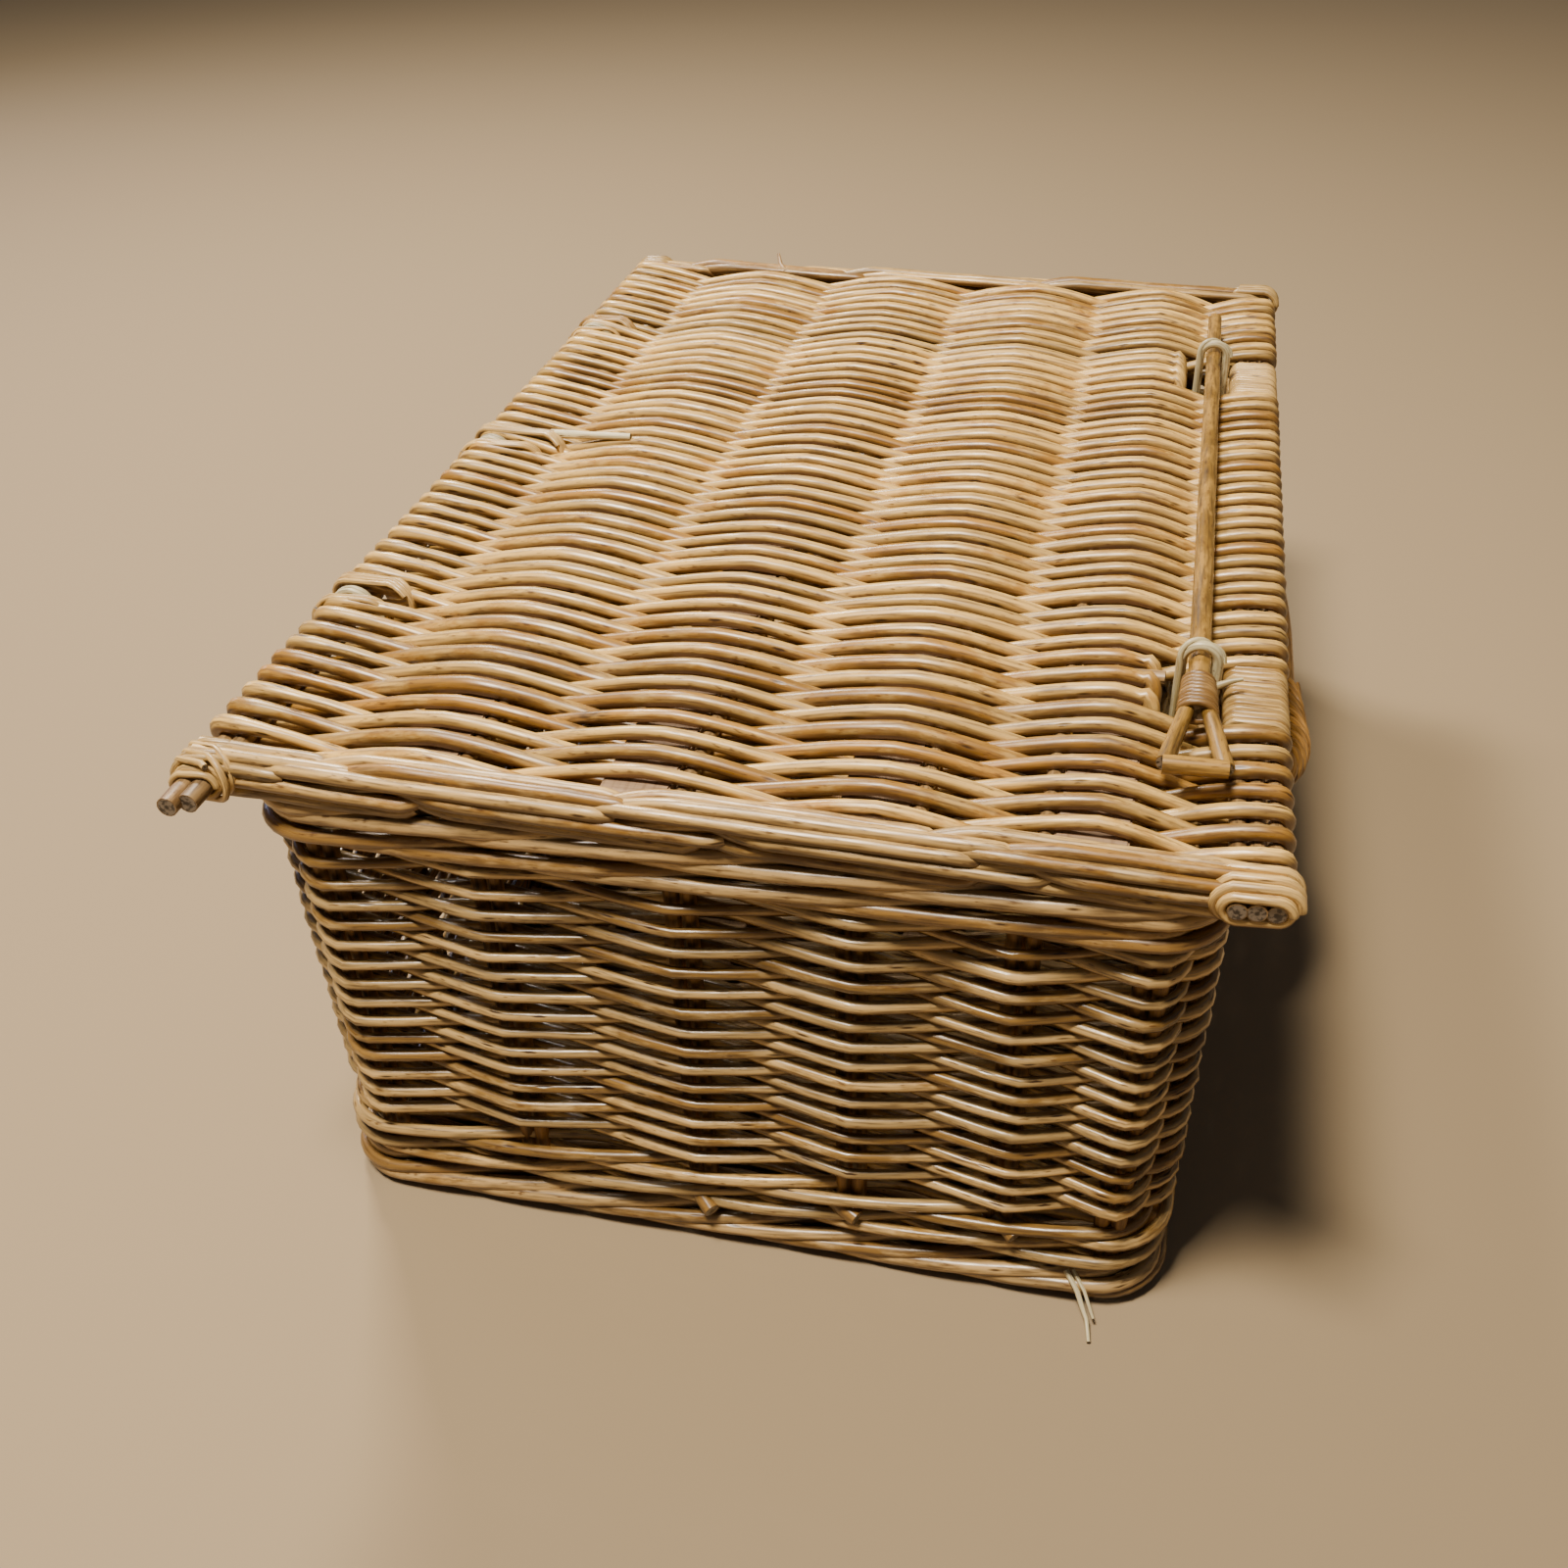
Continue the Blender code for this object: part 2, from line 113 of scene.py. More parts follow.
LID_LOW, LID_HIGH = box_of("lid_weave", "lid_near_wale", "lid_far_wale")
LID_MID = (LID_LOW + LID_HIGH) / 2
ROW_LOW, ROW_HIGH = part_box("lid_weave")
LATHS = [f"lid_lath_{i}" for i in (1, 2, 3, 4)]
LATH_X = [middle(name).x for name in LATHS]
LATH_LOW, LATH_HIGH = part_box(LATHS[0])
LATH_HALF = (LATH_HIGH - LATH_LOW).x / 2
LATH_THICK = (LATH_HIGH - LATH_LOW).z
FRONT_LOW, FRONT_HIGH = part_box("lid_front_sticks")
HINGE_LOW, HINGE_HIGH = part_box("lid_hinge_sticks")
STICK = (FRONT_HIGH - FRONT_LOW).z / 2
FRONT_STICKS_X = (FRONT_LOW.x + STICK, middle("lid_front_sticks").x, FRONT_HIGH.x - STICK)
HINGE_STICKS_X = (HINGE_LOW.x + STICK, HINGE_HIGH.x - STICK)
TIES = [f"hinge_tie_{i}" for i in (1, 2, 3)]
TIE_Y = [middle(name).y for name in TIES]
RINGS = ["lock_ring_1", "lock_ring_2"]
RING_Y = [middle(name).y for name in RINGS]
ROD_LOW, ROD_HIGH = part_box("locking_rod")
BORDER_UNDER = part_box("front_top_border")[0].z
FOOT_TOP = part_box("front_foot_border")[1].z
BASE_LOW, BASE_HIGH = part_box("base_weave")
HANDLE_LOW, HANDLE_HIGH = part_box("front_handle")


def from_mm(origin, *points):
    """Points that are given in mm from an origin."""
    return [[o + c * MM for o, c in zip(origin, point)] for point in points]


# Nodes and colours

def add(tree, kind, inputs=None, output=0, **settings):
    """Add a node, with its settings and with its inputs linked or set, and give one output."""
    made = tree.nodes.new(kind)
    for key, value in settings.items():
        setattr(made, key, value)
    for key, value in (inputs or {}).items():
        if isinstance(value, bpy.types.NodeSocket):
            tree.links.new(value, made.inputs[key])
        else:
            made.inputs[key].default_value = value
    return made.outputs[output] if made.outputs else made


def linear(code):
    """An sRGB hex colour as linear RGBA."""
    parts = [int(code[i:i + 2], 16) / 255 for i in (1, 3, 5)]
    return (*[c / 12.92 if c <= 0.04045 else ((c + 0.055) / 1.055) ** 2.4 for c in parts], 1.0)


def sweep_tree():
    """Sweep a round rod along every path of a wire mesh.

    Each path is nudged off its line and swollen here and there, as grown rods are.  The attribute
    grain runs along the rod in X, in units of GRAIN, and across it in Y and Z, in rod radii.  The
    attribute upward is the height of the skin's normal.
    """
    tree = bpy.data.node_groups.new("swept_rods", "GeometryNodeTree")
    sockets = (("Paths", "Geometry"), ("Sides", "Int"), ("Crookedness", "Float"),
               ("Swelling", "Float"), ("Bend spacing", "Float"), ("Seed", "Float"),
               ("Finish", "Material"))
    for name, kind in sockets:
        tree.interface.new_socket(name, in_out="INPUT", socket_type="NodeSocket" + kind)
    tree.interface.new_socket("Rods", in_out="OUTPUT", socket_type="NodeSocketGeometry")
    given = tree.nodes.new("NodeGroupInput").outputs
    stored = {name: add(tree, "GeometryNodeInputNamedAttribute", {"Name": name}, output="Attribute",
                        data_type="FLOAT")
              for name in ("radius", "run", "tone")}
    own = add(tree, "ShaderNodeMath", {0: stored["tone"], 1: 97.0, 2: given["Seed"]},
              operation="MULTIPLY_ADD")
    per_metre = add(tree, "ShaderNodeMath", {0: 1.0, 1: given["Bend spacing"]}, operation="DIVIDE")
    bends = add(tree, "ShaderNodeTexNoise", {"W": own, "Scale": per_metre, "Detail": 1.0},
                output="Color", noise_dimensions="4D")
    centred = add(tree, "ShaderNodeVectorMath", {0: bends, 1: (0.5, 0.5, 0.5)},
                  operation="SUBTRACT")
    nudge = add(tree, "ShaderNodeVectorMath", {0: centred, "Scale": given["Crookedness"]},
                operation="SCALE")
    # A rod swells every 20 to 30 mm, at its buds.
    lumps = add(tree, "ShaderNodeTexNoise", {"W": own, "Scale": 0.045 / MM, "Detail": 2.0},
                noise_dimensions="4D")
    swelling = add(tree, "ShaderNodeMapRange", {"Value": lumps, "To Min": -1.0, "To Max": 1.0},
                   clamp=False)
    factor = add(tree, "ShaderNodeMath", {0: swelling, 1: given["Swelling"], 2: 1.0},
                 operation="MULTIPLY_ADD")
    thickness = add(tree, "ShaderNodeMath", {0: stored["radius"], 1: factor}, operation="MULTIPLY")
    paths = add(tree, "GeometryNodeMeshToCurve", {"Mesh": given["Paths"]})
    bent = add(tree, "GeometryNodeSetPosition", {"Geometry": paths, "Offset": nudge})
    ring = add(tree, "GeometryNodeCurvePrimitiveCircle",
               {"Resolution": given["Sides"], "Radius": 1.0})
    place = add(tree, "GeometryNodeInputPosition")
    ring = add(tree, "GeometryNodeStoreNamedAttribute",
               {"Geometry": ring, "Name": "across", "Value": place}, data_type="FLOAT_VECTOR")
    rods = add(tree, "GeometryNodeCurveToMesh",
               {"Curve": bent, "Profile Curve": ring, "Scale": thickness, "Fill Caps": True})
    across = add(tree, "GeometryNodeInputNamedAttribute", {"Name": "across"}, output="Attribute",
                 data_type="FLOAT_VECTOR")
    across = add(tree, "ShaderNodeSeparateXYZ", {0: across}).node.outputs
    grain = add(tree, "ShaderNodeCombineXYZ", {0: stored["run"], 1: across[0], 2: across[1]})
    rods = add(tree, "GeometryNodeStoreNamedAttribute",
               {"Geometry": rods, "Name": "grain", "Value": grain}, data_type="FLOAT_VECTOR")
    facing = add(tree, "GeometryNodeInputNormal")
    facing = add(tree, "ShaderNodeSeparateXYZ", {0: facing}, output=2)
    rods = add(tree, "GeometryNodeStoreNamedAttribute",
               {"Geometry": rods, "Name": "upward", "Value": facing}, data_type="FLOAT")
    whole = add(tree, "GeometryNodeRealizeInstances", {"Geometry": rods})
    made = add(tree, "GeometryNodeSetMaterial", {"Geometry": whole, "Material": given["Finish"]})
    add(tree, "NodeGroupOutput", {0: made})
    return tree


SWEEP = sweep_tree()


class Rods:
    """The paths of a piece's rods, each with its thickness and its own tone."""

    def __init__(self):
        self.paths = []

    def lay(self, points, butt, tip=None, tone=None, loop=False):
        """A rod along points, from radius butt to radius tip, or with one radius a point."""
        points = np.asarray(points, float)
        if np.ndim(butt) == 0:
            butt = np.linspace(butt, butt if tip is None else tip, len(points))
        self.paths.append((points, butt, chance.random() if tone is None else tone, loop))

    def wire(self, name):
        """The paths as a mesh of edges that carries radius, run and tone."""
        steps = [np.linalg.norm(np.diff(p, axis=0), axis=1) for p, *_ in self.paths]
        runs = [np.r_[0, np.cumsum(s)] / GRAIN + RUN_SPREAD * chance.random() for s in steps]
        edges = []
        first = 0
        for points, _, _, loop in self.paths:
            count = len(points)
            edges += [(first + i, first + i + 1) for i in range(count - 1)]
            if loop:
                edges.append((first + count - 1, first))
            first += count
        mesh = bpy.data.meshes.new(name)
        mesh.from_pydata(np.concatenate([p for p, *_ in self.paths]).tolist(), edges, [])
        values = {"radius": np.concatenate([r for _, r, *_ in self.paths]),
                  "run": np.concatenate(runs),
                  "tone": np.concatenate([np.full(len(p), t) for p, _, t, _ in self.paths])}
        for key, value in values.items():
            mesh.attributes.new(key, "FLOAT", "POINT").data.foreach_set(
                "value", value.astype(np.float32))
        return mesh

    def make(self, name, body, slot, replaced=(), sides=8, crooked=0.9, swelling=0.10,
             spacing=45 * MM):
        """Sweep the rods, and give the piece its body, its finish and the nodes it stands for."""
        wire = bpy.data.objects.new(name + "_wire", self.wire(name))
        bpy.context.scene.collection.objects.link(wire)
        sweep = wire.modifiers.new("sweep", "NODES")
        sweep.node_group = SWEEP
        named = {item.name: item.identifier for item in SWEEP.interface.items_tree
                 if item.in_out == "INPUT"}
        for key, value in (("Sides", sides), ("Crookedness", 2 * crooked * MM),
                           ("Swelling", swelling), ("Bend spacing", spacing),
                           ("Seed", SKIN_SEED), ("Finish", FINISH[slot])):
            sweep[named[key]] = value
        graph = bpy.context.evaluated_depsgraph_get()
        mesh = bpy.data.meshes.new_from_object(wire.evaluated_get(graph))
        bpy.data.objects.remove(wire)
        mesh.name = name
        mesh.shade_smooth()
        mesh.set_sharp_from_angle(angle=CUT_EDGE)
        keep(bpy.data.objects.new(name, mesh), body, replaced)


def keep(obj, body, replaced=()):
    """Put a finished piece in the scene, on its body."""
    bpy.context.scene.collection.objects.link(obj)
    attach(obj, body)
    if replaced:
        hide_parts(*replaced)


# Materials

def start(name):
    """An empty material and its tree."""
    mat = bpy.data.materials.new(name)
    mat.use_nodes = True
    tree = mat.node_tree
    tree.nodes.clear()
    return mat, tree


def cut_end(tree, grain, fleck):
    """Where a rod's skin gives way to its cut end, and that end's colour, dark at the pith."""
    parts = add(tree, "ShaderNodeSeparateXYZ", {0: grain}).node.outputs
    flat = add(tree, "ShaderNodeCombineXYZ", {1: parts[1], 2: parts[2]})
    reach = add(tree, "ShaderNodeVectorMath", {0: flat}, output="Value", operation="LENGTH")
    cut = add(tree, "ShaderNodeMapRange",
              {"Value": reach, "From Min": 0.84, "From Max": 0.89, "To Min": 1.0, "To Max": 0.0})
    pith = add(tree, "ShaderNodeMapRange", {"Value": reach, "From Min": 0.15, "From Max": 0.34})
    cracks = add(tree, "ShaderNodeMapRange",
                 {"Value": fleck, "From Min": 0.5, "From Max": 0.58, "To Max": 0.9})
    end = add(tree, "ShaderNodeMix", {0: pith, 6: linear("#2e241c"), 7: linear("#857664")},
              output=2, data_type="RGBA")
    end = add(tree, "ShaderNodeMix", {0: cracks, 6: end, 7: linear("#2e241c")}, output=2,
              data_type="RGBA")
    return cut, end


def burn_mark(tree, fleck, centre):
    """Share of charred skin round a centre, with a ragged rim."""
    place = add(tree, "ShaderNodeTexCoord", output="Object")
    away = add(tree, "ShaderNodeVectorMath", {0: place, 1: centre}, output="Value",
               operation="DISTANCE")
    ragged = add(tree, "ShaderNodeMath", {0: fleck, 1: 22 * MM, 2: away}, operation="MULTIPLY_ADD")
    return add(tree, "ShaderNodeMapRange",
               {"Value": ragged, "From Min": 16 * MM, "From Max": 24 * MM, "To Min": 0.85,
                "To Max": 0.0})


def willow(name, pale, gold, brown, golden=0.5, flecks=0.5, gloss=0.5, shade_limit=-0.15,
           shade_colour="#5d4020", scorch=None):
    """Peeled willow, sun-dried and oiled by handling.

    The skin is satin, in pale buff that turns golden in long patches.  Dark knots and short
    flecks lie along the rod, and a cut end is grey and cracked, with a dark pith.  Painted shade
    darkens the skin where its normal points lower than a given limit, down into the gaps between
    rods, and leaves the tops unshaded.  Scorch is a place where a burn has left the rods dark.
    """
    mat, tree = start(name)
    grain = add(tree, "ShaderNodeAttribute", output="Vector", attribute_name="grain")
    tone = add(tree, "ShaderNodeAttribute", output="Fac", attribute_name="tone")
    upward = add(tree, "ShaderNodeAttribute", output="Fac", attribute_name="upward")

    def along(length, across):
        """The grain, for a pattern of this length and with so many repeats in a rod's radius."""
        return add(tree, "ShaderNodeMapping",
                   {"Vector": grain, "Scale": (GRAIN / length, across, across)})

    stain = add(tree, "ShaderNodeTexNoise",
                {"Vector": along(37.5 * MM, 0.3), "Scale": 1.0, "Detail": 5.0, "Roughness": 0.68})
    fibre = add(tree, "ShaderNodeTexNoise",
                {"Vector": along(18.75 * MM, 2.6), "Scale": 1.0, "Detail": 4.0})
    knot = add(tree, "ShaderNodeTexVoronoi", {"Vector": along(25 * MM, 0.75), "Scale": 1.0},
               output="Distance")
    fleck = add(tree, "ShaderNodeTexNoise",
                {"Vector": along(GRAIN / 0.55, 2.4), "Scale": 1.0, "Detail": 2.0})

    # Golden patches come where the stain is strong, and on some rods more than on others.
    own = add(tree, "ShaderNodeMath", {0: tone, 1: 0.42, 2: stain}, operation="MULTIPLY_ADD")
    patches = add(tree, "ShaderNodeMapRange",
                  {"Value": own, "From Min": 0.95 - 0.4 * golden, "From Max": 1.08 - 0.4 * golden})
    dull = add(tree, "ShaderNodeMapRange",
               {"Value": fibre, "From Min": 0.44, "From Max": 0.72, "To Max": 0.85})
    # Painted shade: the skin is darkened where it turns down into the gaps, patchily along the
    # fibre, and left unshaded on the tops.
    patchy = add(tree, "ShaderNodeMath", {0: fibre, 1: -0.6, 2: upward}, operation="MULTIPLY_ADD")
    painted_shade = add(tree, "ShaderNodeMapRange",
               {"Value": patchy, "From Min": shade_limit - 0.8, "From Max": shade_limit, "To Min": 0.92,
                "To Max": 0.0})
    colour = linear(pale)
    # The last of these coats is the painted shade in the gaps between rods.
    for share, coat in ((patches, gold), (dull, brown), (painted_shade, shade_colour)):
        colour = add(tree, "ShaderNodeMix", {0: share, 6: colour, 7: linear(coat)}, output=2,
                     data_type="RGBA")

    # Each rod is darker or paler than its neighbours.
    depth = add(tree, "ShaderNodeMath", {0: tone, 1: 0.21}, operation="PINGPONG")
    shade = add(tree, "ShaderNodeMapRange",
                {"Value": depth, "From Max": 0.21, "To Min": 0.6, "To Max": 1.0})
    colour = add(tree, "ShaderNodeVectorMath", {0: colour, "Scale": shade}, operation="SCALE")
    spots = add(tree, "ShaderNodeMapRange",
                {"Value": fleck, "From Min": 0.68 - 0.07 * flecks, "From Max": 0.74, "To Max": 0.8})
    eyes = add(tree, "ShaderNodeMapRange",
               {"Value": knot, "From Min": 0.08, "From Max": 0.18, "To Min": 0.95, "To Max": 0.0})
    cut, end = cut_end(tree, grain, fleck)
    coats = [(spots, linear("#5c3a1a")), (eyes, linear("#38200d"))]
    if scorch:
        coats.append((burn_mark(tree, fleck, scorch), linear("#3a2817")))
    for share, coat in (*coats, (cut, end)):
        colour = add(tree, "ShaderNodeMix", {0: share, 6: colour, 7: coat}, output=2,
                     data_type="RGBA")

    rough = add(tree, "ShaderNodeMapRange",
                {"Value": fibre, "From Min": 0.3, "From Max": 0.7, "To Min": 0.54 - 0.3 * gloss,
                 "To Max": 0.72 - 0.3 * gloss})
    relief = add(tree, "ShaderNodeMath", {0: fibre, 1: eyes}, operation="SUBTRACT")
    bump = add(tree, "ShaderNodeBump", {"Height": relief, "Strength": 0.35, "Distance": 0.4 * MM})
    skin = add(tree, "ShaderNodeBsdfPrincipled",
               {"Base Color": colour, "Roughness": rough, "Normal": bump,
                "Specular IOR Level": 0.65})
    add(tree, "ShaderNodeOutputMaterial", {0: skin})
    return mat


def lath_wood(name):
    """Sawn softwood lath, grey-brown, with saw strokes across it and grain along it."""
    mat, tree = start(name)
    place = add(tree, "ShaderNodeTexCoord", output="Object")
    # The saw left nine strokes in 10 mm, and the grain has seven veins in 10 mm.
    across = add(tree, "ShaderNodeMapping",
                 {"Vector": place, "Scale": (0.06 / MM, 0.9 / MM, 0.06 / MM)})
    along = add(tree, "ShaderNodeMapping",
                {"Vector": place, "Scale": (0.7 / MM, 0.022 / MM, 0.7 / MM)})
    strokes = add(tree, "ShaderNodeTexNoise", {"Vector": across, "Scale": 1.0, "Detail": 2.0})
    grain = add(tree, "ShaderNodeTexNoise", {"Vector": along, "Scale": 1.0, "Detail": 3.0})
    colour = add(tree, "ShaderNodeMix", {0: strokes, 6: linear("#7d6045"), 7: linear("#c3a37f")},
                 output=2, data_type="RGBA")
    veins = add(tree, "ShaderNodeMapRange",
                {"Value": grain, "From Min": 0.5, "From Max": 0.75, "To Max": 0.5})
    colour = add(tree, "ShaderNodeMix", {0: veins, 6: colour, 7: linear("#5a3f28")}, output=2,
                 data_type="RGBA")
    bump = add(tree, "ShaderNodeBump", {"Height": strokes, "Strength": 0.6, "Distance": 0.5 * MM})
    wood = add(tree, "ShaderNodeBsdfPrincipled",
               {"Base Color": colour, "Roughness": 0.85, "Normal": bump})
    add(tree, "ShaderNodeOutputMaterial", {0: wood})
    return mat


def stick_skin(name, pale, brown):
    """Thicker willow sticks left in their shape from the frame: brown, with long fibres."""
    mat, tree = start(name)
    place = add(tree, "ShaderNodeTexCoord", output="Object")
    # Fibres are 2.5 mm apart and 33 mm long.
    along = add(tree, "ShaderNodeMapping",
                {"Vector": place, "Scale": (0.4 / MM, 0.4 / MM, 0.03 / MM)})
    fibre = add(tree, "ShaderNodeTexNoise", {"Vector": along, "Scale": 1.0, "Detail": 4.0})
    share = add(tree, "ShaderNodeMapRange", {"Value": fibre, "From Min": 0.35, "From Max": 0.68})
    colour = add(tree, "ShaderNodeMix", {0: share, 6: linear(pale), 7: linear(brown)}, output=2,
                 data_type="RGBA")
    bump = add(tree, "ShaderNodeBump", {"Height": fibre, "Strength": 0.3, "Distance": 0.4 * MM})
    skin = add(tree, "ShaderNodeBsdfPrincipled",
               {"Base Color": colour, "Roughness": 0.5, "Normal": bump})
    add(tree, "ShaderNodeOutputMaterial", {0: skin})
    return mat


# Willow's eighth and ninth arguments place and colour its painted shade in the gaps.
FINISH = {
    "willow_lid": willow("buff_willow", "#f8c971", "#c68f3a", "#74542c", 0.5, 1.0, 0.95, 0.4,
                         "#76552e", scorch=(LID_MID.x - 68 * MM, LID_MID.y - 260 * MM, LID_HIGH.z)),
    "willow_wale": willow("buff_willow_ends", "#f0c478", "#bb883c", "#664927", 0.5, 1.2, 0.95,
                          0.35),
    "willow_wall": willow("golden_willow", "#e3bb76", "#a87f3f", "#553c1e", 0.52, 0.8, 1.2),
    "willow_border": willow("golden_willow_thick", "#e3ba78", "#ab8040", "#5d4223", 0.5, 0.9, 1.1),
    "willow_base": willow("pale_willow", "#dcb67c", "#b28746", "#77552c", 0.45, 0.4, 0.5),
    "willow_stick": willow("grey_willow_stick", "#b8935f", "#856338", "#4f381d", 0.5, 0.9, 0.5),
    "willow_rope": willow("orange_willow", "#cb9448", "#9a6826", "#5c3d16", 0.6, 0.5, 1.0),
    "brown_willow": willow("brown_willow", "#b48940", "#8a6628", "#3f2d14", 0.6, 1.3, 1.0),
    "split_cane": willow("split_cane", "#f3e4b2", "#dcc381", "#94743e", 0.35, 0.5, 0.7, -0.6),
    "willow_stake": stick_skin("brown_stake", "#946a30", "#432a0e"),
    "sawn_lath": lath_wood("sawn_lath"),
    "buff_skein": willow("buff_skein", "#e6bd72", "#bd8f44", "#7b5a33", 0.4, 0.7, 0.9),
    "brown_skein": willow("brown_skein", "#c79a5a", "#9d7238", "#5c421f", 0.45, 0.8, 0.9),
}


# Lid

def ribs_wave(x, ribs, heights, sign, sharp):
    """Height of a weaver that goes over and under the ribs in turn; sign is its side at rib 0."""
    ribs = np.asarray(ribs)
    k = np.clip(np.searchsorted(ribs, x) - 1, 0, len(ribs) - 2)
    t = np.clip((x - ribs[k]) / (ribs[k + 1] - ribs[k]), 0, 1)
    wave = (1 - sharp) * np.cos(math.pi * t) + sharp * (1 - 2 * t)
    size = np.asarray(heights)[k] * (1 - t) + np.asarray(heights)[k + 1] * t
    return np.where(k % 2 == 0, sign, -sign) * size * wave


def turn_points(x, side, sign, radius, y0, y1, steps=7):
    """Half a turn round an edge stick, pulled tight, from one row to the next."""
    tight = 2.5 * MM
    angle = np.linspace(0, math.pi, steps + 2)[1:-1]
    return np.column_stack((x + side * (radius - tight) * np.sin(angle),
                            y0 + (y1 - y0) * (0.5 - 0.5 * np.cos(angle)),
                            LID_MID.z + sign * radius * np.cos(angle)))


def part_at_ties(points):
    """Move rows aside for the hinge ties, close to the back edge."""
    near_edge = np.clip((points[:, 0] - LID_LOW.x) / (50 * MM), 0, 1)
    weight = 1 - near_edge * near_edge * (3 - 2 * near_edge)
    room, reach = 6.2 * MM, 15 * MM
    for tie in TIE_Y:
        gap = points[:, 1] - tie
        moved = np.sign(gap) * (room + np.abs(gap) * (reach - room) / reach)
        points[:, 1] += np.where(np.abs(gap) < reach, (moved - gap) * weight, 0)
    return points


def make_lid_weavers():
    """Each weaver crosses the lid, turns round the front sticks and comes back."""
    rods = Rods()
    pitch = (ROW_HIGH.y - ROW_LOW.y) / LID_ROWS
    rib_shift = 2 * MM          # a lath and its stick are one rib
    slot_reach = 24 * MM        # rows this close to a ring turn back before its slot
    sharp = 0.36
    steps, tail_steps = 66, 5
    ribs = [sum(HINGE_STICKS_X) / 2, *[x + rib_shift for x in LATH_X], FRONT_STICKS_X[1]]
    crest = LATH_THICK / 2 + LID_ROD[0] + 0.8 * MM
    edge = STICK + EDGE_ROD
    back_edge = STICK + BACK_EDGE_ROD
    heights = [back_edge, crest, crest, crest, crest, edge]
    inner = HINGE_STICKS_X[1] - 1 * MM
    jitter = chance.normal(0, 0.55 * MM, LID_ROWS + 2)
    for first in range(0, LID_ROWS, 2):
        rows = [ROW_LOW.y + (first + k + 0.5) * pitch + jitter[first + k] for k in range(3)]
        centre = (rows[0] + rows[1]) / 2
        if any(abs(centre - ring) < slot_reach for ring in RING_Y):
            turn_x, radius, sign = LATH_X[3] + LATH_HALF - 1 * MM, crest - 0.5 * MM, -1
        else:
            turn_x, radius, sign = FRONT_STICKS_X[2], edge, 1
        out = np.linspace(inner, turn_x, steps)
        back = np.linspace(turn_x, HINGE_STICKS_X[0], steps)
        tail = np.linspace(HINGE_STICKS_X[0], inner - 4 * MM, tail_steps)
        rows_z = [LID_MID.z + ribs_wave(x, ribs, heights, s, sharp)
                  for x, s in ((out, -1), (back, 1), (tail, -1))]
        points = np.concatenate((
            np.column_stack((out, np.full(steps, rows[0]), rows_z[0])),
            turn_points(turn_x, 1, sign, radius, rows[0], rows[1]),
            np.column_stack((back, np.full(steps, rows[1]), rows_z[1])),
            turn_points(HINGE_STICKS_X[0], -1, 1, back_edge, rows[1], rows[2]),
            np.column_stack((tail, np.full(tail_steps, rows[2]), rows_z[2]))))
        thick = np.linspace(*LID_ROD, len(points)) * chance.uniform(0.84, 1.1)
        for beyond, edge_rod in ((points[:, 0] - FRONT_STICKS_X[0], EDGE_ROD),
                                 (HINGE_STICKS_X[1] + 12 * MM - points[:, 0], BACK_EDGE_ROD)):
            thick = thick + (edge_rod - thick) * np.clip(beyond / (12 * MM), 0, 1)
        rods.lay(part_at_ties(points), thick)
    rods.make("lid_weavers", "lid", "willow_lid", ["lid_weave"], sides=10, crooked=0.7)


def twist(rods, path, across, spread, count, turns, radius, loop=False, start_turn=0.0,
          linger=0.0):
    """Strands that wind round a path: spread is how far out they lie, across and up.

    They linger on the side that faces out, as long strokes, and dip quickly behind.
    """
    steps = np.linalg.norm(np.diff(path, axis=0), axis=1)
    run = np.r_[0, np.cumsum(steps)]
    total = run[-1] + (np.linalg.norm(path[0] - path[-1]) if loop else 0)
    for j in range(count):
        angle = 2 * math.pi * (run / total * turns + j / count + start_turn)
        angle = angle - linger * np.sin(angle)
        offset = (across * (spread[0] * np.cos(angle))[:, None]
                  + UP * (spread[1] * np.sin(angle))[:, None])
        rods.lay(path + offset, radius * chance.uniform(0.9, 1.08), loop=loop)


def lay_strokes(rods, ends, lanes, heart, radius, length):
    """Rods one after another along X; each bends sharply in where the next one comes out.

    The lanes and the heart are places across the bundle, as Y and Z.
    """
    entry_length, bend_length, overlap = 26 * MM, 11 * MM, 12 * MM
    fall = 3.6 * MM             # a rod lies this much lower at its tip than at its butt
    depth = 0.8                 # share of the way to the heart that both ends dip
    shortest = 30 * MM
    step, fewest = 4 * MM, 6
    for lane in np.asarray(lanes):
        left = ends[0] - chance.uniform(0.1, 0.8) * length
        while left < ends[1] - shortest:
            right = left + length * chance.uniform(0.8, 1.15)
            x = np.arange(max(left, ends[0]), min(right, ends[1]), step)
            entry = np.clip(1 - (x - left) / entry_length, 0, 1) ** 1.5
            bend = np.clip(1 - (right - x) / bend_length, 0, 1) ** 2
            across = lane + depth * np.maximum(entry, bend)[:, None] * (heart - lane)
            slope = (0.5 - (x - left) / (right - left)) * fall
            if len(x) > fewest:
                rods.lay(np.column_stack((x, across[:, 0], across[:, 1] + slope)),
                         radius * chance.uniform(0.86, 1.06), radius * chance.uniform(0.8, 0.98))
            left = right - overlap


